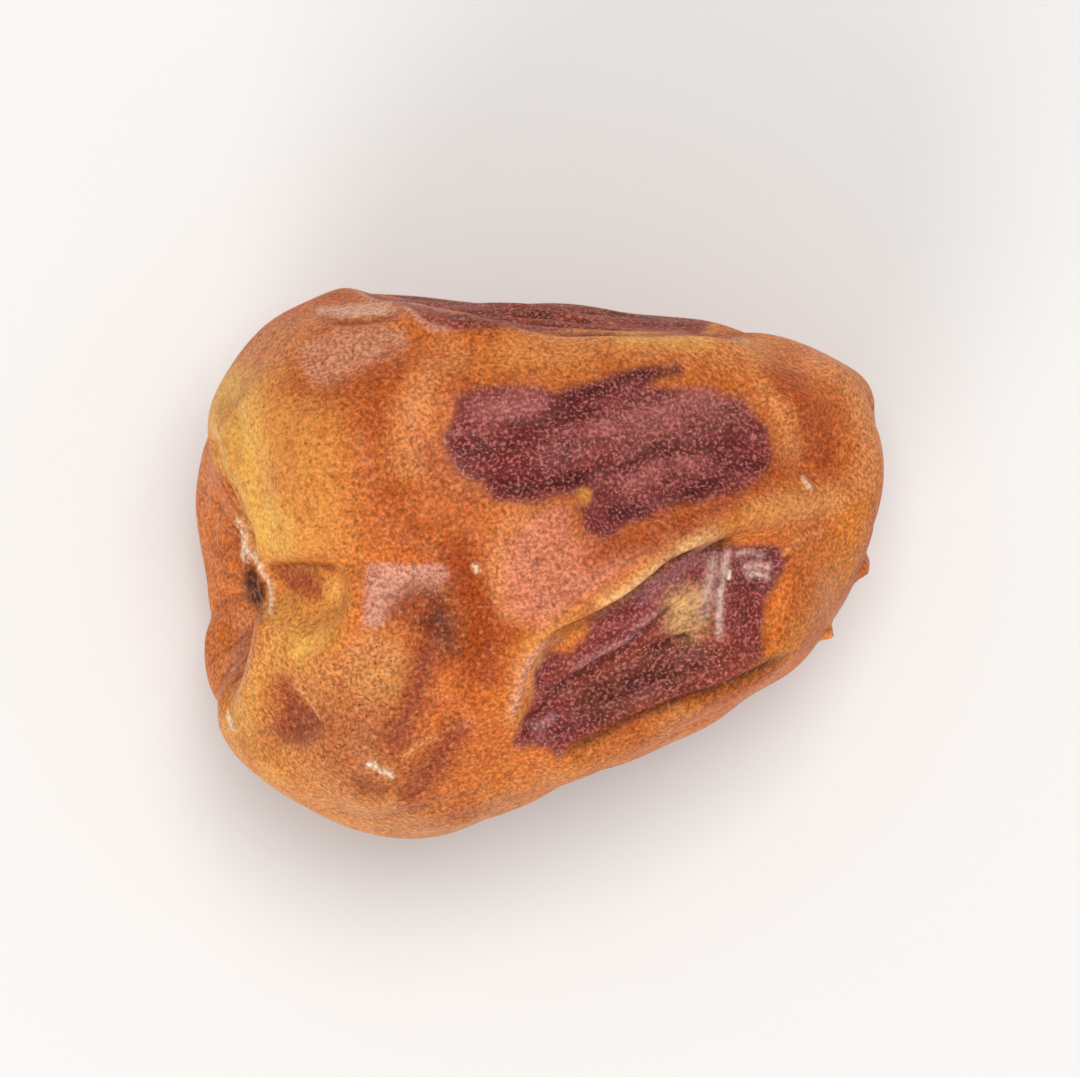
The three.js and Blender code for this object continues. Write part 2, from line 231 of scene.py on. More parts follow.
def ridge(tall, width, path, view="above", **tints):
    """A ridge along a path (or a furrow, if its height is negative), faded at its ends."""
    curve = curve_points(path, closed=False)

    def shape(a, b):
        distance, along = nearest(curve, a, b)
        taper = smoothstep(0, TAPER, along) * smoothstep(0, TAPER, 1 - along)
        return taper * np.exp(-((distance / width) ** 2))

    return view, curve, 3 * width, shape, tall, tints


def ridges(tall, width, paths, view="above", **tints):
    return [ridge(tall, width, path, view, **tints) for path in paths]


# The broad golden ridges and swellings seen from above.
SHOULDER = [
    (-13.2, 9.0), (-9.8, 9.0), (-6.8, 7.2), (-6.6, 4.0),
    (-8.2, 1.4), (-11.0, 1.0), (-13.4, 1.8), (-14.0, 5.4),
]
SALMON_SWELLING = [
    (-2.2, -1.0), (-0.6, 1.2), (1.8, 1.4), (3.4, -0.6),
    (5.0, -1.8), (2.6, -3.0), (-0.2, -4.2), (-2.0, -3.2),
]
NEAR_LOBE = [(-14.2, -9.4), (-11.2, -6.2), (-8.6, -6.4), (-6.8, -9.6), (-8.6, -12.4), (-12.0, -12.0)]
DIAGONAL_RIDGE = [
    (-2.8, -7.4), (-1.4, -5.2), (1.4, -4.2), (4.0, -3.1),
    (6.4, -1.9), (9.0, -0.9), (12.6, -0.3), (15.8, 0.2),
]
NEAR_CREST = [(-3.4, -10.6), (0.2, -11.2), (4.8, -10.1), (9.2, -8.8), (13.4, -6.8)]
FAR_CREST = [(-6.6, 12.6), (-4.0, 11.2), (-0.4, 10.6), (4.0, 10.0), (9.4, 9.0), (13.4, 7.4)]
TIP_RIM = [(14.6, 6.6), (16.2, 5.0), (16.8, 2.4), (16.2, -0.6), (14.8, -2.6)]
DENT_RIM = [(-9.8, 0.2), (-9.5, -1.8), (-10.2, -3.6), (-12.4, -4.6)]
RAISED_ABOVE = [
    patch(0.5, 3.4, SHOULDER),
    patch(0.55, 1.2, SALMON_SWELLING),
    patch(0.35, 3.0, NEAR_LOBE),
    ridge(0.75, 0.9, DIAGONAL_RIDGE),
    ridge(0.5, 1.1, NEAR_CREST),
    ridge(0.5, 0.9, FAR_CREST),
    ridge(0.35, 0.8, TIP_RIM),
    ridge(0.4, 0.7, DENT_RIM),
]

# The sunken windows, dents and furrows seen from above.
UPPER_WINDOW = [
    (-3.4, 7.2), (1.6, 7.4), (6.6, 7.4), (9.8, 5.8), (12.0, 3.4), (9.4, 1.6),
    (5.6, 0.5), (2.2, -0.1), (1.8, 1.8), (-0.6, 2.2), (-2.8, 3.4), (-3.8, 5.2),
]
LOWER_WINDOW = [
    (-2.4, -9.8), (-1.5, -7.2), (-0.4, -5.5), (2.8, -4.5), (6.2, -2.7), (9.0, -1.6),
    (11.2, -2.4), (11.2, -4.4), (9.8, -7.2), (6.4, -8.2), (2.4, -9.3), (-0.8, -10.3),
]
UPPER_RIB = [(-2.0, 4.4), (2.4, 4.3), (6.6, 4.5), (10.8, 4.0)]
LOWER_RIB = [(-2.0, -9.0), (1.0, -6.9), (4.6, -5.3), (8.4, -3.4)]
ORANGE_VALLEY = [
    (-5.5, 8.6), (-6.0, 5.2), (-5.6, 2.4), (-3.7, 0.6), (-3.0, -2.0), (-3.4, -5.0), (-5.0, -8.0),
]
CAP_DENT = [(-13.8, 0.4), (-11.4, 0.3), (-10.2, -0.8), (-10.8, -2.4), (-12.6, -2.8), (-14.0, -1.4)]
MAUVE_DENT = [(-8.2, -0.4), (-5.2, -0.9), (-4.9, -2.4), (-5.2, -4.4), (-7.0, -3.8), (-8.4, -2.2)]
MAUVE_TRAIL = [(-5.6, -3.0), (-6.6, -5.2), (-7.6, -7.2), (-8.8, -9.4)]
CORNER_DENT = [(-13.4, -5.0), (-12.2, -7.2), (-13.0, -8.6), (-14.4, -8.2), (-14.0, -6.4)]
NEAR_STRIP = [(-5.2, -7.8), (-6.4, -9.5), (-7.8, -10.9), (-9.0, -12.0)]
FAR_OVAL = [(-10.0, 9.8), (-7.2, 11.4), (-4.6, 11.0), (-6.4, 9.6), (-9.0, 9.2)]
TIP_DIMPLE = [(13.2, 3.2), (15.0, 3.4), (15.4, 1.4), (14.0, 0.6), (12.8, 1.6)]
SUNK_ABOVE = [
    patch(-0.45, 2.4, UPPER_WINDOW),
    patch(-1.0, 1.5, LOWER_WINDOW),
    ridge(0.2, 0.8, UPPER_RIB),
    ridge(0.3, 0.8, LOWER_RIB),
    ridge(-0.55, 1.5, ORANGE_VALLEY),
    patch(-0.9, 1.4, CAP_DENT),
    patch(-0.45, 2.2, MAUVE_DENT),
    ridge(-0.4, 0.9, MAUVE_TRAIL),
    patch(-0.25, 1.8, CORNER_DENT),
    ridge(-0.3, 1.0, NEAR_STRIP),
    patch(-0.25, 1.0, FAR_OVAL),
    patch(-0.4, 1.6, TIP_DIMPLE),
]

# The far flank has a long ribbed window under its crest, then a fold and a narrow lower window.
FAR_WINDOW = [
    (-7.2, 13.0), (-6.0, 16.6), (-3.4, 19.2), (1.0, 20.0), (5.0, 19.0),
    (9.0, 16.8), (12.0, 13.4), (9.6, 9.6), (2.8, 8.4), (-4.0, 9.0),
]
FAR_RIBS = [
    [(-5.2, 14.4), (0.0, 15.8), (5.4, 15.2), (10.0, 13.4)],
    [(-4.8, 11.6), (1.0, 12.0), (6.6, 11.6), (10.6, 11.4)],
]
FAR_FOLD = [(-10.0, 8.2), (-4.4, 6.8), (1.6, 6.4), (7.6, 6.8), (13.4, 8.8)]
FAR_LOWER = [(-7.0, 4.8), (-1.6, 4.6), (4.4, 4.6), (8.6, 5.4), (6.4, 3.0), (0.6, 2.0), (-5.4, 2.6)]
FAR_CORNER = [(-12.4, 5.2), (-10.8, 9.0), (-8.8, 8.4), (-8.6, 5.2), (-10.6, 3.6)]
FAR_FLANK = [
    patch(-0.7, 2.0, FAR_WINDOW, "far side", slate=0.5, bark=0.5),
    *ridges(0.3, 0.7, FAR_RIBS, "far side", mauve=0.25),
    ridge(0.35, 1.0, FAR_FOLD, "far side", gold=0.7),
    patch(-0.4, 1.6, FAR_LOWER, "far side", plum=0.8),
    patch(-0.4, 1.6, FAR_CORNER, "far side", mauve=0.5),
]

# The near flank is folded lengthwise below the outline.
NEAR_WINDOW = [
    (-8.4, 9.0), (-3.0, 10.2), (3.2, 10.0), (8.6, 9.0),
    (10.4, 7.4), (5.6, 5.2), (-1.0, 4.4), (-6.8, 5.6),
]
NEAR_RIB = [(-6.8, 7.4), (-1.4, 7.6), (4.2, 7.4), (8.8, 7.4)]
NEAR_FOLD = [(-11.6, 4.4), (-6.4, 2.8), (0.0, 2.4), (6.4, 2.8), (11.2, 4.2)]
NEAR_CORNER = [(-14.2, 8.6), (-12.0, 10.4), (-10.4, 8.8), (-11.6, 6.0), (-13.6, 6.2)]
NEAR_FLANK = [
    patch(-0.7, 2.0, NEAR_WINDOW, "near side", plum=0.8),
    ridge(0.45, 0.8, NEAR_RIB, "near side", slate=0.5),
    ridge(-0.4, 0.9, NEAR_FOLD, "near side", ruddy=0.7),
    patch(-0.4, 1.6, NEAR_CORNER, "near side", umber=0.6),
]

# Two windows on the underside leave the middle, which the fruit lies on, standing lowest.
UNDER_WINDOWS = [
    [(-9.4, 5.6), (-4.2, 8.6), (2.6, 8.8), (9.4, 6.6), (10.8, 4.4), (4.0, 4.8), (-3.0, 5.2),
     (-8.4, 4.0)],
    [(-10.4, -6.0), (-5.4, -9.4), (1.4, -9.6), (7.6, -8.0), (8.2, -5.8), (2.0, -6.2),
     (-4.4, -6.2), (-9.4, -4.8)],
]
UNDER_FURROWS = [
    [(-13.0, 2.0), (-12.2, 4.6), (-10.0, 6.8)],
    [(8.6, -2.6), (11.6, -1.4), (14.6, 0.0)],
]
UNDERSIDE = [
    *[patch(-0.65, 1.8, outline, "below", plum=0.9) for outline in UNDER_WINDOWS],
    *ridges(-0.4, 1.0, UNDER_FURROWS, "below", brown=0.8),
]

# The cap end is drawn in to a lens-shaped pit under a raised lip, in uneven radial pleats.
PIT = [(-3.2, 13.4), (-1.2, 14.6), (1.4, 14.6), (3.2, 13.6), (1.6, 12.2), (-1.4, 12.1)]
LIP = [
    (-7.0, 14.0), (-5.4, 17.6), (-2.8, 19.4), (-0.4, 18.6),
    (2.8, 19.6), (5.8, 18.8), (8.2, 16.2), (9.2, 13.0),
]
LIP_CREASE = [
    (-5.6, 13.8), (-4.2, 16.4), (-2.0, 17.6), (-0.2, 17.0),
    (2.4, 17.8), (4.8, 17.0), (6.8, 14.8), (7.6, 12.4),
]
PLEATS = 11
PLEAT_DEPTH = 0.22
PLEAT_WIDTH = 0.65
PLEAT_START = 2.6
PLEAT_LENGTH = 4.2
PLEAT_LEAN = 0.06  # how far each one bows sideways, in radians
PIT_MIDDLE = 13.4
LOWER_LIP = [(-7.2, 9.6), (-3.4, 6.8), (1.0, 6.0), (5.4, 7.4), (8.4, 10.6)]


def pleat(index):
    """A bowed furrow that runs out from the pit. The sines make the pleats uneven."""
    turn = index / PLEATS * 2 * math.pi + 0.3 * math.sin(3.1 * index)
    reach = PLEAT_START + PLEAT_LENGTH * (1 + 0.3 * math.cos(2.3 * index))
    places = ((PLEAT_START, 0), ((PLEAT_START + reach) / 2, PLEAT_LEAN), (reach, 0))
    return [(radius * math.cos(turn + lean), PIT_MIDDLE + radius * math.sin(turn + lean))
            for radius, lean in places]


# The pit is painted dark as the shade inside it, and the brown along the lip's crease and the pleats is
# partly painted shade in the furrows.
CAP_END = [
    patch(-0.8, 2.0, PIT, "cap end", dark=0.9),
    ridge(0.4, 0.9, LIP, "cap end"),
    ridge(-0.4, 0.7, LIP_CREASE, "cap end", brown=0.5),
    *ridges(-PLEAT_DEPTH, PLEAT_WIDTH, map(pleat, range(PLEATS)), "cap end", brown=0.5),
    ridge(0.35, 1.2, LOWER_LIP, "cap end", gold=0.6),
]

# The tip has a small scar with a furrow running away on either side.
SCAR = [(1.6, 9.4), (2.6, 10.4), (3.6, 9.4), (2.6, 8.4)]
SCAR_FURROWS = [
    [(-2.8, 11.2), (0.0, 10.2), (2.6, 9.4)],
    [(2.6, 9.4), (4.4, 7.8), (5.6, 5.6)],
]
TIP_END = [
    patch(-0.35, 1.6, SCAR, "tip end", brown=0.8),
    *ridges(-0.3, 0.7, SCAR_FURROWS, "tip end", ruddy=0.6),
]

# The brown and ruddy along the near flank's fold, the underside's furrows and the tip's furrows are
# partly painted shade in these creases.
BROAD_RELIEF = RAISED_ABOVE + SUNK_ABOVE + FAR_FLANK + NEAR_FLANK + UNDERSIDE + CAP_END + TIP_END

# The slow unevenness of the whole skin: how tall each wave is, its run and where it starts.
WAVES = [
    (0.14, (0.62, 0.31, 0.22), 0.4),
    (0.12, (-0.36, 0.71, 0.45), 2.1),
    (0.1, (0.25, -0.52, 0.93), 4.0),
    (0.07, (1.05, 0.66, -0.57), 1.2),
]

# The first colours make the brown dots on the loose skin bolder. The second ones make the dots and
# the fine grain fainter.
DOTTED = ("gold", "tan", "umber")
GOLDEN = ("gold", "lemon")


def stain(edge, outline, view="above", **tints):
    """Colour inside an outline, faded over an edge, that leaves the height alone."""
    return patch(0, edge, outline, view, **tints)


def streak(width, path, view="above", **tints):
    """Colour along a path, faded at its ends, that leaves the height alone."""
    return ridge(0, width, path, view, **tints)


# The colours of the crests: a gold band along the far one, amber ones along the near one, and a
# pale rim at the upper left. The lemon and peach glows along them are painted highlights, where
# light catches the crests.
FAR_BAND = [(-2.0, 9.6), (1.6, 9.2), (5.0, 9.1), (8.4, 8.8), (11.2, 8.0), (13.8, 6.8)]
FAR_HIGHLIGHT = [(4.6, 9.3), (7.4, 8.9), (10.4, 8.3)]
FAR_KNOB = [(-11.6, 12.4), (-9.4, 13.2), (-7.4, 13.4), (-6.0, 13.0)]
TOP_LEFT = [(-14.4, 9.4), (-12.8, 12.0), (-9.6, 13.4), (-9.8, 11.2), (-11.4, 9.8), (-13.0, 9.0)]
NEAR_BAND = [(-6.0, -12.6), (-2.4, -11.9), (0.6, -11.2), (4.6, -10.3), (8.6, -9.3), (12.0, -8.0)]
NEAR_HIGHLIGHT = [(-5.0, -13.2), (-2.6, -12.4), (0.2, -11.9), (3.0, -11.2)]
BAND_HIGHLIGHT = [(3.6, -10.6), (5.0, -10.2), (6.8, -9.6)]
CREST_HIGHLIGHT = [(4.4, -10.6), (5.1, -9.9), (5.9, -9.3)]
CREST_FLUSH = [(6.2, -9.6), (7.8, -9.2), (9.4, -8.8), (11.2, -8.2)]
CREST_DUSK = [(-0.6, -11.4), (2.0, -10.8), (4.6, -10.2), (6.6, -9.6)]
TIP_BAND = [(9.6, -8.4), (12.4, -6.8), (14.4, -4.8), (15.8, -2.2), (16.6, 0.4)]
CREST_TINTS = [
    streak(1.3, FAR_BAND, gold=0.45, peach=0.25),
    streak(0.5, FAR_HIGHLIGHT, lemon=0.6),
    streak(0.8, FAR_KNOB, ruddy=0.5),
    stain(1.8, TOP_LEFT, peach=0.4),
    streak(1.2, NEAR_BAND, amber=0.3),
    streak(0.6, NEAR_HIGHLIGHT, lemon=0.2),
    streak(0.6, BAND_HIGHLIGHT, lemon=0.15),
    streak(0.5, CREST_HIGHLIGHT, peach=0.5),
    streak(0.8, CREST_FLUSH, umber=0.5),
    streak(0.9, CREST_DUSK, umber=0.35),
    streak(1.2, TIP_BAND, amber=0.6),
]

# The colours of the sides and the underside: gold where the skin stands proud, and ruddy or plum
# where it has sunk. The gold of the shines is partly painted highlight, and the ruddy of the
# hollows partly painted shade.
NEAR_SHINE = [(-12.4, 12.2), (-8.0, 11.0), (-3.0, 12.2), (2.6, 11.4), (8.0, 10.2)]
NEAR_HOLLOW = [(-13.2, 7.0), (-10.6, 6.2), (-9.4, 8.8), (-10.6, 11.6)]
NEAR_BLUSH = [(10.2, 5.6), (13.2, 7.0), (14.4, 9.6), (12.8, 11.4), (10.8, 9.0)]
FAR_SHINE = [(9.6, 15.8), (12.4, 13.0), (13.6, 9.6), (12.6, 6.2)]
TIP_HOLLOW = [(-5.0, 13.0), (-2.6, 8.6), (-3.8, 4.6)]
TIP_SHINE = [(-1.0, 13.6), (1.6, 11.6), (5.6, 12.0), (8.2, 10.0)]
UNDER_BLUSH = [(-9.0, 2.0), (-2.0, 2.8), (6.0, 2.0), (9.0, -0.6), (2.0, -3.0), (-6.0, -3.2)]
SIDE_TINTS = [
    streak(1.5, NEAR_SHINE, "near side", gold=0.5),
    streak(1.3, NEAR_HOLLOW, "near side", ruddy=0.6),
    stain(2.4, NEAR_BLUSH, "near side", peach=0.5),
    stain(1.4, NEAR_WINDOW, "near side", plum=0.9),
    streak(0.8, NEAR_RIB, "near side", slate=0.5),
    streak(1.3, FAR_SHINE, "far side", gold=0.5),
    streak(1.4, TIP_HOLLOW, "tip end", ruddy=0.6),
    streak(1.2, TIP_SHINE, "tip end", gold=0.5),
    stain(3.0, UNDER_BLUSH, "below", tan=0.6),
]

# The colours that lie on the broad forms, from the widest to the smallest. The widest are the
# golden shoulder, the tan lobe next to it and the face of the cap end.
LOWER_LOBE = [
    (-13.6, -2.0), (-10.6, -3.6), (-8.6, -3.6), (-7.4, -5.6), (-8.6, -8.6), (-7.6, -11.8),
    (-4.0, -12.6), (-3.0, -15.0), (-14.0, -15.0), (-19.0, -7.0), (-17.0, -4.6), (-14.6, -2.6),
]
LOBE_MIDDLE = [(-12.4, -7.2), (-10.6, -6.0), (-8.0, -7.6), (-8.4, -10.4), (-11.4, -10.6), (-12.6, -9.2)]
LOBE_RIM = [(-13.6, -3.8), (-15.6, -5.2), (-16.6, -7.0), (-15.2, -10.0), (-12.4, -12.4), (-8.4, -13.8)]
GOLDEN_SHOULDER = [
    (-14.4, 9.6), (-12.0, 10.8), (-10.6, 9.0), (-8.8, 7.4), (-8.4, 4.4),
    (-8.8, 1.8), (-10.0, 0.2), (-12.6, 0.2), (-14.3, 1.6), (-14.6, 6.0),
]
# The lip at the cap end: its own pale lemon skin, brightened further by a painted highlight.
LIP_LEMON_AND_HIGHLIGHT = [
    (-15.8, 8.6), (-14.6, 10.6), (-13.0, 10.2), (-12.6, 7.4), (-12.8, 4.6),
    (-11.8, 2.4), (-12.6, 1.2), (-14.2, 2.0), (-14.7, 4.6), (-16.0, 6.0),
]
END_BLUSH = [
    (-8.6, 12.4), (-6.6, 5.4), (0.0, 2.6), (6.6, 4.6),
    (9.2, 9.6), (7.2, 13.6), (3.0, 11.2), (-3.0, 11.0),
]
END_FACE = [
    (-15.8, 6.2), (-14.6, 4.8), (-14.5, 2.6), (-14.3, 0.4), (-14.5, -2.6),
    (-15.9, -4.7), (-18.2, -5.6), (-19.0, 0.0), (-17.8, 6.2),
]
PALE_OLIVE = [(-8.6, -3.6), (-7.0, -4.6), (-6.8, -6.0), (-8.4, -6.8), (-10.4, -5.8), (-10.0, -4.2)]
WIDE_TINTS = [
    stain(3.0, LOWER_LOBE, "all round", tan=0.6),
    stain(3.0, LOBE_MIDDLE, "all round", umber=0.55),
    streak(1.8, LOBE_RIM, "all round", gold=0.3, amber=0.6),
    stain(3.6, GOLDEN_SHOULDER, "all round", gold=0.85),
    stain(1.8, LIP_LEMON_AND_HIGHLIGHT, "all round", lemon=0.85),
    stain(4.0, END_BLUSH, "cap end", face=0.7),
    stain(0.9, END_FACE, face=0.9),
    stain(1.4, PALE_OLIVE, "all round", tan=0.5),
]

# The orange valley, the pale border of the upper window, the salmon swelling and the tip. The
# valley's ruddy is partly the skin's own colour and partly painted shade, darkest along its foot.
VALLEY = [(-4.6, 10.3), (-6.4, 9.2), (-7.2, 7.2), (-7.3, 4.4), (-6.6, 2.0), (-4.8, -0.4)]
VALLEY_FOOT = [(-5.2, 1.0), (-4.4, -0.6), (-3.7, -2.0), (-3.4, -3.6), (-3.7, -5.4), (-4.6, -7.0)]
WINDOW_BORDER = [
    (-1.4, 9.8), (-3.0, 9.4), (-4.2, 8.6), (-5.1, 7.2), (-5.7, 5.8), (-6.0, 4.6), (-6.2, 3.4),
]
WINDOW_HALO = [(-4.8, 6.0), (-4.6, 4.8), (-4.4, 3.4), (-3.4, 2.6), (-2.0, 2.0)]
SALMON = [
    (-2.2, -0.6), (-1.0, 1.0), (1.4, 1.5), (2.0, -0.4), (4.6, -0.9), (7.6, 0.0),
    (10.2, 0.6), (7.6, -0.9), (4.4, -2.0), (1.6, -3.4), (-0.4, -4.4), (-2.2, -3.2),
]
# The pale peach rim on the salmon swelling's left side is a painted highlight.
SALMON_HIGHLIGHT = [(1.4, 1.7), (-1.0, 1.1), (-2.2, -0.6), (-2.3, -2.6), (-1.4, -4.2)]
WINDOW_FOOT = [(1.2, -1.7), (3.0, -1.2), (5.4, -0.7), (8.4, 0.1), (11.0, 0.9), (13.2, 1.9)]
APEX_BORDER = [(11.2, 6.2), (12.6, 4.9), (13.0, 3.0), (13.5, 1.4)]
APEX_FLUSH = [
    (12.4, 6.8), (13.9, 6.3), (14.9, 4.6), (15.4, 2.4), (14.9, 0.9),
    (13.9, 1.2), (13.5, 3.0), (13.2, 4.6), (12.4, 5.8),
]
APEX_RIM = [(13.6, 7.4), (15.4, 6.2), (16.4, 4.6), (16.8, 2.6), (16.5, 0.6), (15.6, -1.4)]
APEX_PALE = [(9.6, -0.4), (12.0, -0.3), (14.0, -0.5), (15.8, -0.4)]
MIDDLE_TINTS = [
    streak(1.3, VALLEY, "all round", ruddy=0.55),
    streak(1.6, VALLEY_FOOT, ruddy=0.95),
    streak(0.9, VALLEY_FOOT, brown=0.25),
    streak(0.9, WINDOW_BORDER, peach=0.6),
    streak(0.8, WINDOW_HALO, umber=0.4),
    stain(1.3, SALMON, rose=0.8),
    streak(0.55, SALMON_HIGHLIGHT, peach=0.5),
    streak(0.8, WINDOW_FOOT, ruddy=0.7),
    streak(0.7, APEX_BORDER, peach=0.55),
    stain(1.2, APEX_FLUSH, ruddy=0.75),
    streak(0.7, APEX_RIM, "all round", peach=0.6),
    streak(0.7, APEX_PALE, peach=0.8),
]

# The golden rings round the cap dent, and the crest of the diagonal ridge, with a painted
# highlight of lemon and cream where light catches its lower bank.
RING_BACK = [(-8.9, 1.0), (-9.3, -0.6), (-9.8, -1.9), (-10.5, -3.3), (-11.6, -4.4)]
COLLAR = [
    (-13.7, -1.0), (-11.2, -1.5), (-10.6, -3.0), (-11.9, -4.4), (-13.3, -4.7),
    (-14.8, -5.6), (-15.2, -7.5), (-14.2, -9.6), (-15.6, -9.8), (-17.4, -7.0),
    (-17.2, -5.8), (-15.6, -4.2), (-14.4, -2.7),
]
RING = [(-10.2, 0.0), (-10.3, -1.0), (-10.6, -2.0), (-11.3, -2.9), (-12.4, -3.5), (-13.4, -3.8)]
RIDGE_HIGHLIGHT = [(1.6, -4.0), (3.6, -3.35), (5.3, -2.45), (7.2, -1.5), (9.4, -0.9)]
RING_TINTS = [
    streak(0.5, RING_BACK, orange=0.6, gold=0.3),
    stain(1.2, CAP_DENT, tan=0.3, gold=0.3),
    stain(1.6, COLLAR, lemon=0.35),
    streak(0.55, RING, lemon=0.65),
    streak(0.7, DIAGONAL_RIDGE, gold=0.6),
    streak(0.4, RIDGE_HIGHLIGHT, lemon=0.4, cream=0.25),
]

# The pale oval at the upper left, whose mauve is partly a painted sheen, the marks of the cap
# end and the window of the far flank.
FAR_OVAL_RING = [(-10.6, 11.4), (-10.5, 9.4), (-8.8, 8.6), (-6.6, 9.0), (-4.6, 9.9), (-4.2, 11.0)]
FAR_OVAL_TINT = [
    (-9.9, 11.2), (-8.2, 11.6), (-5.6, 11.4), (-4.9, 10.8), (-5.3, 10.2),
    (-7.0, 9.7), (-9.0, 9.2), (-9.9, 9.5), (-10.2, 10.4),
]
FAR_LENS = [(-9.2, 12.9), (-7.8, 12.3), (-5.2, 12.1), (-6.2, 12.7), (-7.8, 12.9)]
CAP_SPOT = [(-13.1, 0.3), (-12.0, 0.2), (-11.1, 0.0), (-10.9, -0.9), (-11.5, -1.2), (-12.4, -0.6)]
# The dark in the pit is painted shade.
PIT_SHADE = [(-14.6, 0.9), (-13.7, -0.1), (-14.1, -1.2), (-14.9, -1.0), (-15.0, 0.4)]
FACE_STREAK = [(-15.6, -0.8), (-15.6, -2.2), (-15.8, -3.4), (-16.4, -4.6)]
FLANK_TOP = [
    (-5.9, 13.9), (-5.0, 12.7), (-4.5, 12.0), (-3.9, 11.2), (-2.8, 10.7), (1.7, 10.3),
    (7.6, 9.4), (9.8, 8.9), (10.0, 10.6), (5.7, 12.0), (-0.5, 13.4), (-4.0, 14.2),
]
FLANK_SIDE = [
    (-6.6, 12.0), (-5.8, 16.6), (-5.0, 19.3), (-3.4, 20.1), (-1.0, 19.9), (2.0, 18.7),
    (5.0, 17.3), (8.0, 15.5), (11.0, 12.6), (9.6, 9.6), (2.8, 8.4), (-5.0, 8.8),
]
FAR_TINTS = [
    streak(0.7, FAR_OVAL_RING, ruddy=0.35),
    stain(0.8, FAR_OVAL_TINT, mauve=0.7, tan=0.2),
    stain(0.5, FAR_LENS, cream=0.4, mauve=0.5),
    stain(0.5, CAP_SPOT, umber=0.85),
    stain(0.6, PIT_SHADE, dark=1.0),
    streak(1.2, FACE_STREAK, "all round", peach=0.5),
    streak(0.5, FACE_STREAK, "all round", mauve=0.9),
    stain(0.6, FLANK_TOP, bark=0.85, shade=0.2),
    stain(0.6, FLANK_SIDE, "far side", slate=0.3, bark=0.85),
]

# The mauve dent with its dark trail, and the two dark marks on the lobe. The pale mauve on the
# dent's upper slope is partly a painted sheen, and its dark brown lower side partly painted shade.
MAUVE_SHINE = [
    (-8.4, 0.0), (-6.6, -0.3), (-4.8, -0.6), (-5.2, -1.8), (-6.8, -1.8),
    (-7.8, -2.4), (-8.3, -3.0), (-9.1, -2.8), (-8.8, -1.4),
]
MAUVE_DEPTH = [
    (-7.8, -2.3), (-6.4, -1.4), (-4.9, -1.8), (-4.7, -3.2), (-5.4, -4.8), (-6.3, -4.6), (-6.6, -3.4),
]
DEPTH_CORE = [(-6.4, -2.4), (-5.6, -3.2), (-5.2, -4.2), (-5.6, -5.0)]
TRAIL = [(-5.8, -3.6), (-6.7, -5.4), (-7.4, -6.8), (-8.2, -8.2), (-8.9, -9.4)]
CORNER = [(-13.5, -4.8), (-12.7, -6.0), (-11.8, -7.1), (-13.0, -8.1), (-14.5, -7.4), (-13.9, -6.2)]
STRIP = [(-4.8, -7.7), (-5.7, -8.9), (-6.8, -10.1), (-7.9, -11.1), (-9.0, -12.0)]
MAUVE_TINTS = [
    stain(0.5, MAUVE_SHINE, mauve=0.95),
    stain(2.0, MAUVE_DEPTH, umber=0.9),
    stain(2.0, MAUVE_DEPTH, brown=0.5),
    streak(0.9, DEPTH_CORE, shade=0.3, dark=0.5),
    streak(0.8, TRAIL, umber=0.95),
    stain(1.2, CORNER, umber=0.95),
    stain(1.6, CORNER, brown=0.5),
    streak(0.85, STRIP, umber=0.95),
]

# The upper window is plum with pale and dark streaks. A golden notch cuts into its foot.
UPPER_TINT = [
    (-3.8, 5.1), (-3.4, 6.4), (-2.8, 7.6), (-0.6, 7.5), (2.2, 7.1), (4.4, 7.2), (5.8, 7.5), (7.2, 7.45),
    (6.7, 6.9), (6.2, 6.6), (6.8, 6.3), (8.0, 6.1), (9.6, 5.6), (10.7, 5.0), (11.8, 3.9), (12.1, 3.0),
    (11.6, 1.7), (10.1, 0.8), (7.8, 0.5), (5.4, 0.2), (3.8, -0.3), (2.8, -0.5), (2.1, 0.2), (2.2, 1.2),
    (1.8, 1.8), (0.2, 1.8), (-1.8, 2.2), (-2.0, 3.1), (-2.9, 3.6), (-3.7, 4.2),
]
UPPER_WINE = [(-3.5, 5.2), (-2.4, 6.0), (-0.4, 5.2), (0.6, 4.0), (0.2, 2.7), (-1.4, 2.4), (-2.8, 3.6)]
UPPER_SLATE = [(4.4, 5.2), (7.0, 5.9), (10.6, 5.6), (10.9, 4.2), (7.6, 3.4), (5.0, 3.2)]
UPPER_END = [(8.6, 4.2), (10.6, 4.6), (11.9, 3.4), (11.2, 2.0), (9.4, 1.6), (8.4, 2.8)]
UPPER_DARKS = [
    [(1.0, 6.4), (3.4, 6.7), (5.6, 7.0), (7.6, 7.1), (8.8, 7.0)],
    [(-1.2, 5.7), (1.6, 5.6), (4.6, 5.9)],
    [(-3.6, 4.7), (-1.8, 4.9), (-0.2, 4.6)],
    [(0.4, 3.0), (2.4, 2.8), (4.7, 3.0), (6.6, 3.3), (9.0, 3.0), (11.0, 3.2)],
    [(-1.6, 2.7), (0.8, 2.5), (3.0, 2.6)],
    [(3.0, 0.5), (5.4, 0.8), (8.0, 1.1), (10.6, 2.1)],
]
UPPER_PALES = [
    [(-0.2, 3.8), (2.3, 4.2), (5.2, 5.3), (8.0, 5.5), (10.4, 5.3)],
    [(-2.8, 6.7), (0.0, 6.5), (1.8, 6.8)],
    [(3.6, 2.2), (6.6, 2.5), (9.6, 2.7)],
]
NOTCH = [(2.2, 2.1), (2.8, 1.9), (2.7, 1.4), (2.2, 1.4)]
UPPER_TINTS = [
    stain(3.2, UPPER_TINT, umber=0.45),
    stain(1.3, UPPER_TINT, plum=1.0),
    stain(1.8, UPPER_WINE, wine=1.0),
    stain(1.6, UPPER_SLATE, slate=0.6),
    stain(1.6, UPPER_END, shade=0.15),
    *[streak(0.8, path, blush=0.7) for path in UPPER_PALES],
    *[streak(0.4, path, shade=0.65) for path in UPPER_DARKS],
    stain(0.5, NOTCH, gold=0.8),
]
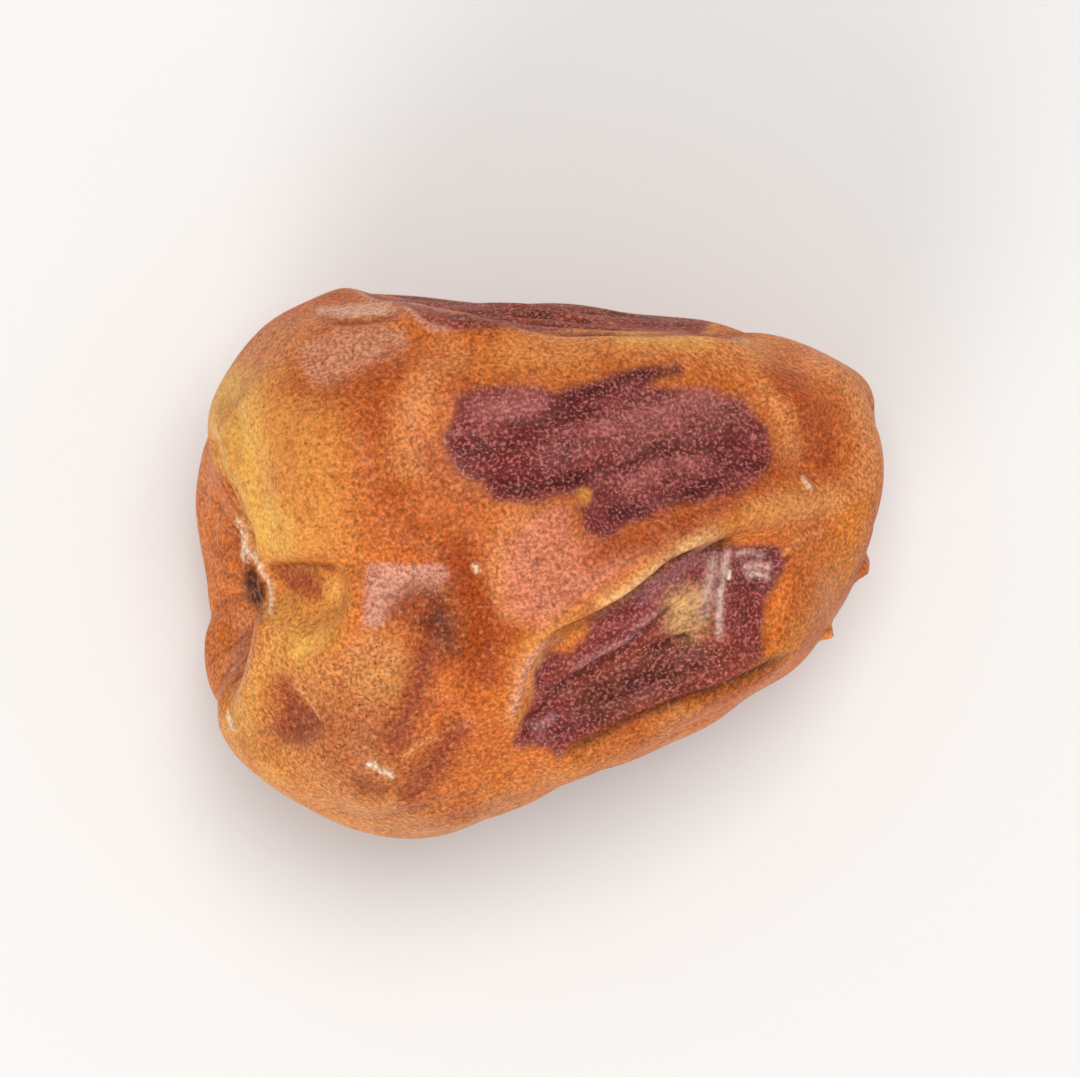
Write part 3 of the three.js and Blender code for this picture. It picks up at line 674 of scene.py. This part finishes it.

# The lower window is plum and brown, with an olive spot, two pale folds and a bloom at its right.
# The peach along its left bank is a painted highlight.
LOWER_TINT = [
    (-0.9, -5.4), (0.3, -5.6), (1.2, -5.2), (2.0, -4.3), (3.8, -3.5), (5.1, -2.8), (6.2, -2.1),
    (7.3, -1.8), (8.8, -1.6), (10.0, -1.9), (11.7, -2.2), (11.8, -3.2), (10.9, -4.2), (10.3, -5.6),
    (9.9, -7.2), (9.0, -8.2), (6.6, -8.8), (3.6, -9.3), (0.4, -10.2), (-0.8, -10.8), (-1.2, -10.2),
    (-2.8, -9.9), (-2.2, -8.6), (-1.6, -7.4), (-1.5, -6.2),
]
LOWER_BARK = [(-0.4, -6.6), (3.0, -5.4), (6.4, -4.0), (8.6, -6.2), (9.6, -7.8), (5.0, -8.8), (1.6, -9.4)]
LOWER_SHADE = [(0.2, -7.8), (2.6, -6.8), (5.0, -6.2), (7.4, -6.6), (6.4, -8.0), (3.8, -8.8), (1.2, -9.3)]
LOWER_TOP = [(3.8, -4.2), (5.6, -3.0), (7.2, -2.2), (8.8, -1.9)]
BANK_HIGHLIGHT = [(-0.4, -5.3), (-1.6, -6.3), (-2.3, -7.6), (-3.0, -9.2)]
OLIVE_SPOT = [(5.9, -3.9), (7.4, -3.8), (7.5, -5.0), (6.8, -5.8), (5.8, -5.4)]
BLOOM = [(9.5, -2.4), (11.2, -2.6), (11.0, -3.6), (9.9, -4.0), (9.2, -3.4)]
BLOOM_SHADE = [(9.9, -3.0), (11.3, -2.6), (11.4, -3.6), (10.8, -4.3), (9.7, -4.4)]
BLOOM_STREAKS = [
    [(9.3, -2.3), (10.1, -2.3), (10.9, -2.6)],
    [(9.5, -2.9), (10.4, -3.0), (11.2, -3.2)],
    [(9.6, -3.4), (10.3, -3.4), (11.0, -3.8)],
]
PLUM_EDGE = [(9.0, -4.2), (10.4, -4.4), (10.0, -5.8), (8.8, -5.8)]
PALE_VEIL = [(8.5, -1.8), (8.0, -3.1), (7.6, -4.4), (7.1, -5.4)]
PALE_FOLD = [(9.2, -1.7), (8.7, -3.0), (8.2, -4.6), (7.9, -6.6)]
LOWER_TINTS = [
    stain(0.9, LOWER_TINT, plum=1.0),
    stain(1.6, LOWER_BARK, bark=0.75),
    stain(1.4, LOWER_SHADE, soot=0.65),
    streak(0.5, LOWER_TOP, lilac=0.3),
    streak(0.5, BANK_HIGHLIGHT, peach=0.7),
    stain(1.8, OLIVE_SPOT, olive=1.0),
    stain(0.8, BLOOM, lilac=0.2),
    stain(0.8, BLOOM_SHADE, shade=0.75),
    *[streak(0.15, path, frost=0.9) for path in BLOOM_STREAKS],
    stain(1.0, PLUM_EDGE, plum=0.6),
    streak(0.3, PALE_VEIL, frost=0.65),
    streak(0.2, PALE_FOLD, frost=0.95),
]

TOP_TINTS = [
    *WIDE_TINTS, *MIDDLE_TINTS, *RING_TINTS, *FAR_TINTS, *MAUVE_TINTS, *UPPER_TINTS, *LOWER_TINTS,
]

# Creases, folds and marks that are too fine for the solid. Those of the lower window come first.
# A thin dark furrow at the foot of the diagonal ridge: its dark is a painted shadow, where the ridge
# overhangs the lower window.
RIDGE_SHADOW = [
    (-0.9, -5.1), (0.6, -4.7), (2.2, -4.25), (3.8, -3.65), (5.1, -2.95),
    (6.2, -2.25), (7.2, -2.0), (8.6, -1.7), (10.2, -1.2),
]
LOWER_EDGE = [
    (12.2, -7.5), (10.6, -7.9), (9.0, -8.4), (7.4, -8.8), (5.6, -9.0),
    (3.8, -9.4), (2.2, -9.8), (0.6, -10.3), (-1.0, -10.9),
]
LOWER_FOLDS = [
    [(-0.8, -8.0), (0.3, -7.2), (2.0, -6.4), (3.4, -6.0), (4.4, -5.3), (5.6, -4.6), (6.6, -4.2)],
    [(-2.4, -9.0), (-1.2, -8.4), (-0.2, -7.6), (0.8, -7.3)],
    [(1.0, -8.6), (3.4, -7.8), (5.6, -7.4), (7.4, -7.4)],
    [(4.4, -6.4), (5.6, -6.0), (6.8, -5.9)],
]
# Thin raised lines along the lower window's folds, tinted lilac as painted highlights where light
# catches the folds.
LOWER_FOLD_HIGHLIGHTS = [
    [(0.2, -6.8), (1.6, -6.2), (3.2, -5.6), (4.4, -4.9), (5.6, -4.2)],
    [(-2.0, -9.2), (-1.2, -9.0), (-0.4, -8.6)],
]
FOLD_LIP = [(0.6, -5.0), (-0.4, -5.1), (-1.2, -5.5), (-1.9, -6.5), (-2.4, -7.6), (-3.0, -8.6)]

# Thin pale creases, and the lines round the cap end and the lobe.
PALE_CREASES = [
    [(11.4, -2.9), (12.2, -2.3), (13.0, -1.9), (14.2, -1.8)],
    [(-13.2, -4.9), (-12.4, -6.0), (-11.8, -7.3)],
    [(-8.4, -9.6), (-7.4, -9.0), (-6.2, -8.7)],
]
DENT_LINE = [(-13.8, 0.6), (-12.4, 0.5), (-11.0, 0.3), (-9.9, 0.0)]
LIP_CREASE_LINE = [(-13.7, 8.9), (-13.9, 7.6), (-14.3, 6.0), (-14.5, 4.4), (-14.4, 3.0)]
FACE_EDGE = [(-14.5, -2.2), (-15.2, -3.4), (-16.2, -4.5), (-17.6, -5.1)]
LENS_LINE = [(-9.2, 12.4), (-7.8, 12.0), (-6.2, 11.9), (-4.6, 12.2)]
BASE_LINES = [
    [(-13.0, -11.4), (-10.4, -12.2), (-7.0, -12.2), (-4.4, -11.6)],
    [(-11.0, -13.0), (-8.0, -13.2), (-5.0, -12.9), (-2.4, -12.4)],
]

# The lips and creases of the flanks' windows.
FAR_LIP = [(-7.4, 14.0), (-6.6, 16.4), (-5.0, 18.4), (-3.0, 19.6), (-0.6, 20.2)]
FAR_CREASES = [
    [(-3.6, 18.6), (0.2, 19.4), (3.8, 18.8), (7.0, 17.4)],
    [(-4.6, 17.4), (-1.2, 17.6), (2.6, 17.8), (6.4, 16.6)],
    [(-5.4, 16.0), (-2.4, 16.8), (1.0, 16.6), (5.0, 16.4)],
    [(-5.8, 14.0), (-1.4, 14.4), (3.4, 14.0), (8.4, 13.0)],
    [(-3.4, 11.6), (1.8, 11.4), (7.4, 11.0)],
]
NEAR_CREASES = [
    [(-6.8, 8.4), (-1.6, 8.9), (3.8, 8.8), (8.4, 8.2)],
    [(-5.0, 6.3), (0.4, 5.8), (5.4, 6.2), (8.0, 6.9)],
    [(-2.8, 9.4), (1.8, 9.5), (5.6, 9.0)],
]
FLANK_LIP = [(-6.4, 13.3), (-5.3, 12.6), (-4.5, 11.9), (-3.9, 11.2), (-3.3, 10.9), (-2.5, 10.8)]
FLANK_LINES = [
    [(-4.4, 12.6), (-2.6, 11.8), (-0.4, 11.5), (1.8, 11.5)],
    [(-3.4, 12.8), (-1.4, 12.2), (0.8, 12.0), (3.2, 11.4)],
    [(0.6, 11.1), (3.0, 11.1), (5.2, 10.6), (7.4, 10.3)],
]

# Specks of dried sugar and painted glints of light, such as the row along the far outline near the
# tip, flakes of loose skin, and the crumbs and thread at the pit.
SPECK_SHADE = [(-10.8, -10.1), (-9.6, -10.5), (-9.2, -11.2), (-10.2, -11.4), (-10.9, -10.9)]
SPECKS_AND_GLINTS = [
    [(13.2, 1.1), (13.4, 0.7), (13.6, 0.2)],
    [(-3.5, -0.7), (-3.3, -0.9), (-3.2, -1.2)],
    [(-10.2, -9.7), (-9.8, -9.6), (-9.6, -10.0)],
    [(-9.6, -10.1), (-9.2, -10.1), (-8.9, -10.5)],
    [(-16.7, -6.0), (-16.6, -6.5), (-16.5, -7.2)],
    [(8.9, -2.9), (8.9, -3.2), (8.8, -3.5)],
    [(10.9, 8.3), (11.4, 8.2), (11.9, 8.1)],
]
FLAKES = [
    [(15.5, 8.6), (15.7, 9.6), (15.5, 10.6)],
    [(13.2, 8.4), (13.45, 9.4), (13.3, 10.4)],
]
CRUMBS = [
    [(-14.8, 3.5), (-14.6, 2.8), (-14.5, 2.1)],
    [(-14.5, 2.4), (-14.7, 1.8), (-14.8, 1.0)],
    [(-14.6, 1.9), (-14.2, 1.3), (-13.7, 0.5)],
]
LIP_THREAD = [(-13.9, 0.7), (-13.5, 0.0), (-13.5, -0.8), (-13.7, -1.8)]
FINE_PLEATS = 30
FINE_PLEAT_START = 2.3
FINE_PLEAT_LENGTH = 3.0


def fine_pleat(index):
    """A thin crease of the cap end, running out from the rim of the pit."""
    turn = index / FINE_PLEATS * 2 * math.pi + 0.09 * math.sin(5.3 * index)
    first = FINE_PLEAT_START + 0.5 * math.sin(1.7 * index)
    last = first + FINE_PLEAT_LENGTH + 1.6 * math.sin(2.9 * index)
    return [(reach * math.cos(turn), PIT_MIDDLE + reach * math.sin(turn))
            for reach in (first, (first + last) / 2, last)]


WRINKLES = 7
WRINKLE_START = -11
WRINKLE_LENGTH = 13
WRINKLE_HEIGHT = 3.4  # the height of the lowest one
WRINKLE_GAP = 1.75


def wrinkle(index):
    """A long shallow crease that wanders along a flank, by its place in the row of them."""
    start = WRINKLE_START + 3.1 * math.sin(2.4 * index)
    run = WRINKLE_LENGTH + 5 * math.sin(1.3 * index + 1)
    height = WRINKLE_HEIGHT + WRINKLE_GAP * index
    return [(start + run * share, height + 0.7 * math.sin(5 * share + 1.9 * index) - 1.6 * share)
            for share in (0, 0.25, 0.5, 0.75, 1)]


UNDER_WRINKLES = 6
UNDER_START = -9
UNDER_LENGTH = 10
UNDER_FIRST = -6.6  # where the one on the near side lies
UNDER_GAP = 2.6


def under_wrinkle(index):
    """The same on the underside, where they run slightly askew."""
    start = UNDER_START + 2.6 * math.sin(1.7 * index + 2)
    run = UNDER_LENGTH + 4 * math.sin(2.1 * index)
    side = UNDER_FIRST + UNDER_GAP * index
    return [(start + run * share, side + 0.6 * math.sin(4.4 * share + 2.3 * index) + 1.2 * share)
            for share in (0, 0.3, 0.65, 1)]


TIP_PLEATS = 9
TIP_PLEAT_START = 1.2
TIP_PLEAT_END = 4.2
TIP_TWIST = 0.03
TIP_MIDDLE = (2.6, 9.4)


def tip_pleat(index):
    """A short crease that runs out from the scar at the tip."""
    turn = index / TIP_PLEATS * 2 * math.pi + 0.25 * math.sin(2.7 * index)
    last = TIP_PLEAT_END + 1.4 * math.sin(1.9 * index)
    across, up = TIP_MIDDLE
    return [(across + reach * math.cos(turn + TIP_TWIST * reach), up + reach * math.sin(turn))
            for reach in (TIP_PLEAT_START, (TIP_PLEAT_START + last) / 2, last)]


# The dark tints along the furrows, creases and lines here are partly painted shade, darkening them where
# shade falls in a crease, and partly the skin's own darker lines.
FINE_RELIEF = [
    *ridges(-0.16, 0.34, map(wrinkle, range(WRINKLES)), "near side"),
    *ridges(-0.16, 0.34, map(under_wrinkle, range(UNDER_WRINKLES)), "below"),
    *ridges(-0.14, 0.3, map(tip_pleat, range(TIP_PLEATS)), "tip end", ruddy=0.45),
    *ridges(-0.1, 0.2, map(fine_pleat, range(FINE_PLEATS)), "cap end", brown=0.45),
    ridge(-0.35, 0.2, RIDGE_SHADOW, dark=0.85),
    ridge(-0.32, 0.24, LOWER_EDGE, dark=0.8),
    *ridges(-0.22, 0.22, LOWER_FOLDS, shade=0.7),
    *ridges(0.12, 0.24, LOWER_FOLD_HIGHLIGHTS, lilac=0.55),
    ridge(0.14, 0.18, FOLD_LIP, mauve=0.7),
    *ridges(0.1, 0.13, PALE_CREASES, peach=0.8),
    ridge(0.15, 0.18, FLANK_LIP, mauve=0.7),
    *ridges(-0.12, 0.16, FLANK_LINES, shade=0.6),
    ridge(-0.15, 0.2, FACE_EDGE, ruddy=0.6),
    ridge(-0.2, 0.2, DENT_LINE, brown=0.7),
    ridge(-0.15, 0.2, LIP_CREASE_LINE, lemon=0.5),
    ridge(0.2, 0.3, FAR_LIP, "far side", mauve=0.6),
    *ridges(-0.2, 0.3, FAR_CREASES, "far side", shade=0.55),
    *ridges(-0.2, 0.3, NEAR_CREASES, "near side", shade=0.6),
    ridge(-0.12, 0.18, LENS_LINE, brown=0.7),
    *ridges(-0.1, 0.25, BASE_LINES, brown=0.35),
    patch(-0.1, 0.8, SPECK_SHADE, brown=0.7),
    *ridges(0.08, 0.13, SPECKS_AND_GLINTS, cream=0.9),
    *ridges(0.2, 0.16, CRUMBS, cream=0.8),
    ridge(0.1, 0.11, LIP_THREAD, cream=0.6),
    *ridges(0.5, 0.22, FLAKES, "near side", peach=0.6),
]


def unit(vectors):
    return vectors / np.linalg.norm(vectors, axis=1, keepdims=True)


def cube_on_sphere(cells):
    """The points of a cube of cells, spread evenly over a sphere, and the quads between them."""
    corners = []
    quads = []
    steps = np.arange(cells + 1)
    for axis in range(3):
        for side in (0, cells):
            u, v = np.meshgrid(steps, steps, indexing="ij")
            lattice = np.empty((cells + 1, cells + 1, 3), dtype=int)
            lattice[..., axis] = side
            lattice[..., (axis + 1) % 3] = u
            lattice[..., (axis + 2) % 3] = v
            first = len(corners) * (cells + 1) ** 2
            index = first + np.arange((cells + 1) ** 2).reshape(cells + 1, cells + 1)
            ring = [index[:-1, :-1], index[1:, :-1], index[1:, 1:], index[:-1, 1:]]
            if side == 0:
                ring.reverse()
            quads.append(np.stack(ring, axis=-1).reshape(-1, 4))
            corners.append(lattice.reshape(-1, 3))
    points, shared = np.unique(np.concatenate(corners), axis=0, return_inverse=True)
    quads = shared.reshape(-1)[np.concatenate(quads)]
    spread = unit(np.tan((points / cells * 2 - 1) * math.pi / 4))
    spread[:, 2] += FINER_ABOVE
    return unit(spread), quads


def outline_at(outline, share):
    """Places partway along one lengthwise outline, by a smooth curve through its points."""
    points = np.array(outline)
    start = points[1] * (1, -1) + (0, 2 * points[0][1])
    end = points[-2] * (1, -1) + (0, 2 * points[-1][1])
    padded = np.vstack([start, points, end])
    last = len(points) - 1
    at = np.minimum(share * last, last - 1e-6)
    index = at.astype(int)
    p0, p1, p2, p3 = (padded[index + k] for k in range(4))
    return cubic(p0, p1, p2, p3, (at - index)[:, None])


def smooth_form(direction):
    """Each direction on the unit sphere as a place on the fruit, before the relief."""
    share = np.arccos(np.clip(-direction[:, 0], -1, 1)) / math.pi
    turn = np.arctan2(direction[:, 2], direction[:, 1])
    c, s = np.cos(turn), np.sin(turn)
    side = np.where((c > 0)[:, None], outline_at(FAR_SIDE, share), outline_at(NEAR_SIDE, share))
    deck = np.where((s > 0)[:, None], outline_at(TOP_SIDE, share), outline_at(UNDER_SIDE, share))
    spine = np.array(SPINE_START) + share[:, None] * (np.array(SPINE_END) - SPINE_START)
    fuller = 1 + SQUARENESS * (2 * c * s) ** 2
    x = side[:, 0] * c * c + deck[:, 0] * s * s
    y = spine[:, 1] + (side[:, 1] - spine[:, 1]) * np.abs(c) * fuller
    z = spine[:, 2] + (deck[:, 1] - spine[:, 2]) * np.abs(s) * fuller
    return np.stack([x, y, z], axis=1)


def point_normals(points, quads):
    """The way that the skin faces at each of its points."""
    across = points[quads[:, 2]] - points[quads[:, 0]]
    along = points[quads[:, 3]] - points[quads[:, 1]]
    faces = np.cross(across, along)
    normals = np.zeros_like(points)
    for corner in range(4):
        np.add.at(normals, quads[:, corner], faces)
    return unit(normals)


def hold(facing, points, normals, fades):
    """How well a feature holds at each point: less where the skin turns away from its view."""
    if facing is None:
        above = points[:, 2] + MIDDLE_SLOPE * points[:, 0] - MIDDLE_HEIGHT
        return smoothstep(*FLANK_FADES, above)
    return smoothstep(*fades, normals @ np.array(facing, dtype=float))


def lay(features, points, normals, tints, fades=RELIEF_FADES):
    """The height that the features give each point. Each one's tints cover those before it."""
    height = np.zeros(len(points))
    for view, curve, reach, shape, tall, colours in features:
        across, up, facing = VIEWS[view]
        a, b = points @ np.array(across), points @ np.array(up)
        fade = hold(facing, points, normals, fades)
        low, high = curve.min(axis=0) - reach, curve.max(axis=0) + reach
        near = (fade > 0) & (a > low[0]) & (a < high[0]) & (b > low[1]) & (b < high[1])
        if not near.any():
            continue
        cover = fade[near] * shape(a[near], b[near])
        height[near] += tall * cover
        for name, strength in colours.items():
            share = cover * strength
            for mask in tints.values():
                mask[near] *= 1 - share
            tints[name][near] += share
    return height


def set_down(points):
    """Scales the fruit to the solid's size and flattens what would lie below the surface."""
    low, high = points.min(axis=0), points.max(axis=0)
    middle = (low + high) / 2
    size = np.array([LENGTH, WIDTH, HEIGHT + FLAT_DEPTH])
    points = (points - (middle[0], middle[1], low[2])) * size / (high - low)
    points[:, 2] = np.maximum(points[:, 2] - FLAT_DEPTH, 0)
    return points


TRACE = 0.01  # the least share of the first colour, so that no point is left without one


def blended(tints, colours):
    """The colour at each point: the given ones, by their shares there."""
    total = np.maximum(sum(tints[name] for name in colours), TRACE)
    first = next(iter(colours))
    mixed = TRACE * linear(*colours[first])
    for name in colours:
        mixed = mixed + tints[name][:, None] * linear(*colours[name])
    return mixed / (total[:, None] + TRACE)


def add_colour(mesh, name, colours):
    mesh.attributes.new(name, "FLOAT_COLOR", "POINT").data.foreach_set("color", colours.ravel())


def add_mask(mesh, name, shares):
    mesh.attributes.new(name, "FLOAT", "POINT").data.foreach_set("value", shares)


def add_object(name, data):
    thing = bpy.data.objects.new(name, data)
    bpy.context.scene.collection.objects.link(thing)
    return thing


def shape_skin():
    """The points of the skin, its quads and the share of each colour at each point."""
    directions, quads = cube_on_sphere(CELLS)
    tints = {name: np.zeros(len(directions)) for name in [*LOOSE_COLOURS, *CLING_COLOURS]}
    tints["orange"][:] = 1
    points = smooth_form(directions)
    normals = point_normals(points, quads)
    height = lay(BROAD_RELIEF, points, normals, tints)
    for tall, run, start in WAVES:
        height += tall * np.sin(points @ np.array(run) + start)
    points = set_down(points + normals * height[:, None])
    normals = point_normals(points, quads)
    lay(CREST_TINTS + SIDE_TINTS, points, normals, tints)
    lay(TOP_TINTS, points, normals, tints, TINT_FADES)
    height = lay(FINE_RELIEF, points, normals, tints)
    points = points + normals * height[:, None]
    points[:, 2] = np.maximum(points[:, 2], 0)
    return points, quads, tints


def make_mesh(name, points, quads):
    mesh = bpy.data.meshes.new(name)
    mesh.vertices.add(len(points))
    mesh.vertices.foreach_set("co", (points * MM).ravel())
    mesh.loops.add(quads.size)
    mesh.loops.foreach_set("vertex_index", quads.ravel())
    mesh.polygons.add(len(quads))
    mesh.polygons.foreach_set("loop_start", np.arange(0, quads.size, 4))
    mesh.polygons.foreach_set("loop_total", np.full(len(quads), 4))
    mesh.update(calc_edges=True)
    mesh.validate()
    mesh.polygons.foreach_set("use_smooth", np.ones(len(quads), dtype=bool))
    return mesh


def make_skin():
    points, quads, tints = shape_skin()
    mesh = make_mesh("date_skin", points, quads)
    add_colour(mesh, "loose", blended(tints, LOOSE_COLOURS))
    add_colour(mesh, "clinging", blended(tints, CLING_COLOURS))
    for mask, names in (("cling", CLING_COLOURS), ("dotted", DOTTED), ("golden", GOLDEN)):
        add_mask(mesh, mask, sum(tints[name] for name in names))
    return add_object("date_skin", mesh)


def linear(red, green, blue):
    """A colour given as it looks on a screen, as the shader wants it."""
    def channel(value):
        value /= 255
        return value / 12.92 if value <= 0.04045 else ((value + 0.055) / 1.055) ** 2.4
    return np.array((channel(red), channel(green), channel(blue), 1.0))


class Nodes:
    """The nodes of one material, made and joined in one call each."""

    def __init__(self, material):
        material.use_nodes = True
        self.tree = material.node_tree
        self.shader = self.tree.nodes["Principled BSDF"]

    def add(self, kind, settings=(), **inputs):
        node = self.tree.nodes.new("ShaderNode" + kind)
        for name, value in dict(settings).items():
            setattr(node, name, value)
        for name, value in inputs.items():
            self.put(node.inputs[name.replace("_", " ")], value)
        return node

    def put(self, socket, value):
        if isinstance(value, bpy.types.NodeSocket):
            self.tree.links.new(value, socket)
        else:
            socket.default_value = value

    def mix(self, factor, first, second, blend="MIX"):
        """One colour mixed into another."""
        node = self.add("Mix", {"data_type": "RGBA", "blend_type": blend})
        for index, value in ((0, factor), (6, first), (7, second)):
            self.put(node.inputs[index], value)
        return node.outputs[2]

    def ramp(self, value, low, high, start=0.0, end=1.0):
        """A value carried from one range to another, smoothly and no further."""
        node = self.add("MapRange", {"interpolation_type": "SMOOTHSTEP"}, Value=value,
                        From_Min=low, From_Max=high, To_Min=start, To_Max=end)
        return node.outputs[0]

    def stretched(self, place):
        """The same place, drawn in along the fruit, so that noise there runs in long streaks."""
        node = self.add("Mapping", Vector=place, Scale=STREAK_SCALE)
        return node.outputs[0]

    def noise(self, place, size, detail):
        """Soft noise whose blotches are about as wide as size, in millimetres."""
        node = self.add("TexNoise", Vector=place, Scale=1 / (size * MM), Detail=detail)
        return node.outputs["Fac"]

    def laid(self, name, output="Fac"):
        """What make_skin laid on the mesh under this name."""
        return self.add("Attribute", {"attribute_name": name}).outputs[output]

    def math(self, operation, first, second):
        node = self.add("Math", {"operation": operation})
        self.put(node.inputs[0], first)
        self.put(node.inputs[1], second)
        return node.outputs[0]


def loose_colour(made, place, cloud, blotch, grain):
    """The loose skin is mottled, coarse and fine, and dotted with brown."""
    ruddy, brown, peach = (linear(*LOOSE_COLOURS[name]) for name in ("ruddy", "brown", "peach"))
    colour = made.mix(made.ramp(cloud, 0.5, 0.72, 0, 0.4), made.laid("loose", "Color"), ruddy)
    colour = made.mix(made.ramp(blotch, 0.5, 0.72, 0, 0.35), colour, ruddy)
    colour = made.mix(made.ramp(grain, 0.48, 0.72, 0, 0.3), colour, brown)
    colour = made.mix(made.ramp(grain, 0.5, 0.28, 0, 0.3), colour, peach)
    bold = made.ramp(made.laid("dotted"), 0, 1, 0.4, 0.8)
    bold = made.math("MULTIPLY", bold, made.ramp(made.laid("golden"), 0, 1, 1, 0.6))
    dots = made.math("MULTIPLY", made.ramp(made.noise(place, DOT, 1), 0.6, 0.72), bold)
    return made.mix(dots, colour, brown)


def window_colour(made, blotch, streaks, sand):
    """The windows are streaked lengthwise and blotched, with a pale bloom in fine grains."""
    shade, slate, dust = (linear(*CLING_COLOURS[name]) for name in ("shade", "slate", "dust"))
    colour = made.mix(made.ramp(blotch, 0.5, 0.7, 0, 0.3), made.laid("clinging", "Color"), shade)
    colour = made.mix(made.ramp(streaks, 0.5, 0.3, 0, 0.55), colour, shade)
    colour = made.mix(made.ramp(streaks, 0.5, 0.7, 0, 0.5), colour, slate)
    return made.mix(made.ramp(sand, 0.48, 0.7, 0, 0.5), colour, dust)


def window_edge(made, cling, blotch, sand):
    """The windows' edges are grainy, as the loose skin lifts off the flesh there bit by bit."""
    ragged = made.math("ADD", made.math("MULTIPLY", sand, 0.7), made.math("MULTIPLY", blotch, 0.8))
    return made.ramp(made.math("ADD", cling, ragged), 0.9, 1.7)


def sugared_and_glinting(made, colour, place, cling, blotch):
    """Dried sugar and painted glints show in clusters of paler grains, most of all on the windows."""
    clusters = made.ramp(blotch, 0.4, 0.6, 0.25, 1)
    glints = made.math("MULTIPLY", made.ramp(made.noise(place, SUGAR_GLINT, 1), 0.6, 0.76), clusters)
    share = made.math("MULTIPLY", glints, made.ramp(cling, 0, 1, 0.15, 0.45))
    sugar_and_glint = made.mix(cling, linear(*LOOSE_COLOURS["cream"]), linear(*CLING_COLOURS["frost"]))
    return made.mix(share, colour, sugar_and_glint)


def skin_material():
    """All of the skin is as finely grained as sandpaper, least where it is golden."""
    material = bpy.data.materials.new("date_skin")
    made = Nodes(material)
    place = made.add("TexCoord").outputs["Object"]
    cling = made.laid("cling")
    cloud = made.noise(place, CLOUD, 3)
    blotch = made.noise(place, BLOTCH, 3)
    streaks = made.noise(made.stretched(place), STREAK, 3)
    grain = made.noise(place, GRAIN, 2)
    sand = made.noise(place, SAND, 2)

    loose = loose_colour(made, place, cloud, blotch, grain)
    window = window_colour(made, blotch, streaks, sand)
    colour = made.mix(window_edge(made, cling, blotch, sand), loose, window)
    grained = made.ramp(made.laid("golden"), 0, 1, 1, 0.55)
    colour = made.mix(grained, colour, made.ramp(sand, 0.3, 0.7, 0.66, 1.38), "MULTIPLY")
    colour = sugared_and_glinting(made, colour, place, cling, blotch)

    wrinkles = made.math("MULTIPLY", streaks, made.math("ADD", cling, 0.15))
    relief = made.add("Bump", Height=wrinkles, Strength=0.8, Distance=0.35 * MM)
    bump = made.add("Bump", Height=grain, Strength=0.5, Distance=0.06 * MM,
                    Normal=relief.outputs["Normal"])
    looks = {
        "Base Color": colour,
        "Roughness": made.ramp(cloud, 0.3, 0.7, 0.42, 0.55),
        "Specular IOR Level": 0.15,
        "Subsurface Weight": 0.12,
        "Subsurface Radius": (1.0, 0.4, 0.15),
        "Subsurface Scale": 0.6 * MM,
        "Normal": bump.outputs["Normal"],
    }
    for name, value in looks.items():
        made.put(made.shader.inputs[name], value)
    return material


def make_camera():
    camera = bpy.data.cameras.new("camera")
    camera.sensor_width = SENSOR
    camera.lens = SENSOR * (EYE_HEIGHT - OUTLINE_HEIGHT) / VIEW_WIDTH
    eye = add_object("camera", camera)
    eye.location = (0, 0, EYE_HEIGHT)
    eye.rotation_euler = (0, 0, -PICTURE_TURN)
    bpy.context.scene.camera = eye


def make_light(name, place, size, power):
    lamp = bpy.data.lights.new(name, "AREA")
    lamp.shape = "DISK"
    lamp.size = size
    lamp.energy = power
    light = add_object(name, lamp)
    light.location = place
    light.rotation_euler = (-Vector(place)).to_track_quat("-Z", "Y").to_euler()


def make_floor():
    mesh = bpy.data.meshes.new("floor")
    half = FLOOR_WIDTH / 2
    corners = [(-half, -half, 0), (half, -half, 0), (half, half, 0), (-half, half, 0)]
    mesh.from_pydata(corners, [], [(0, 1, 2, 3)])
    floor = add_object("floor", mesh)
    material = bpy.data.materials.new("floor")
    shader = Nodes(material).shader
    shader.inputs["Base Color"].default_value = FLOOR_COLOUR
    shader.inputs["Roughness"].default_value = FLOOR_ROUGHNESS
    floor.data.materials.append(material)


def make_sky():
    world = bpy.data.worlds.new("world")
    world.use_nodes = True
    sky = world.node_tree.nodes["Background"]
    sky.inputs["Color"].default_value = (1, 1, 1, 1)
    sky.inputs["Strength"].default_value = SKY_STRENGTH
    bpy.context.scene.world = world


make_camera()
make_floor()
for light_name, settings in LIGHTS.items():
    make_light(light_name, *settings)
make_sky()
bpy.context.scene.view_settings.view_transform = "Standard"

skin = make_skin()
skin.data.materials.append(skin_material())
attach(skin, "root")
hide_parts("fruit")
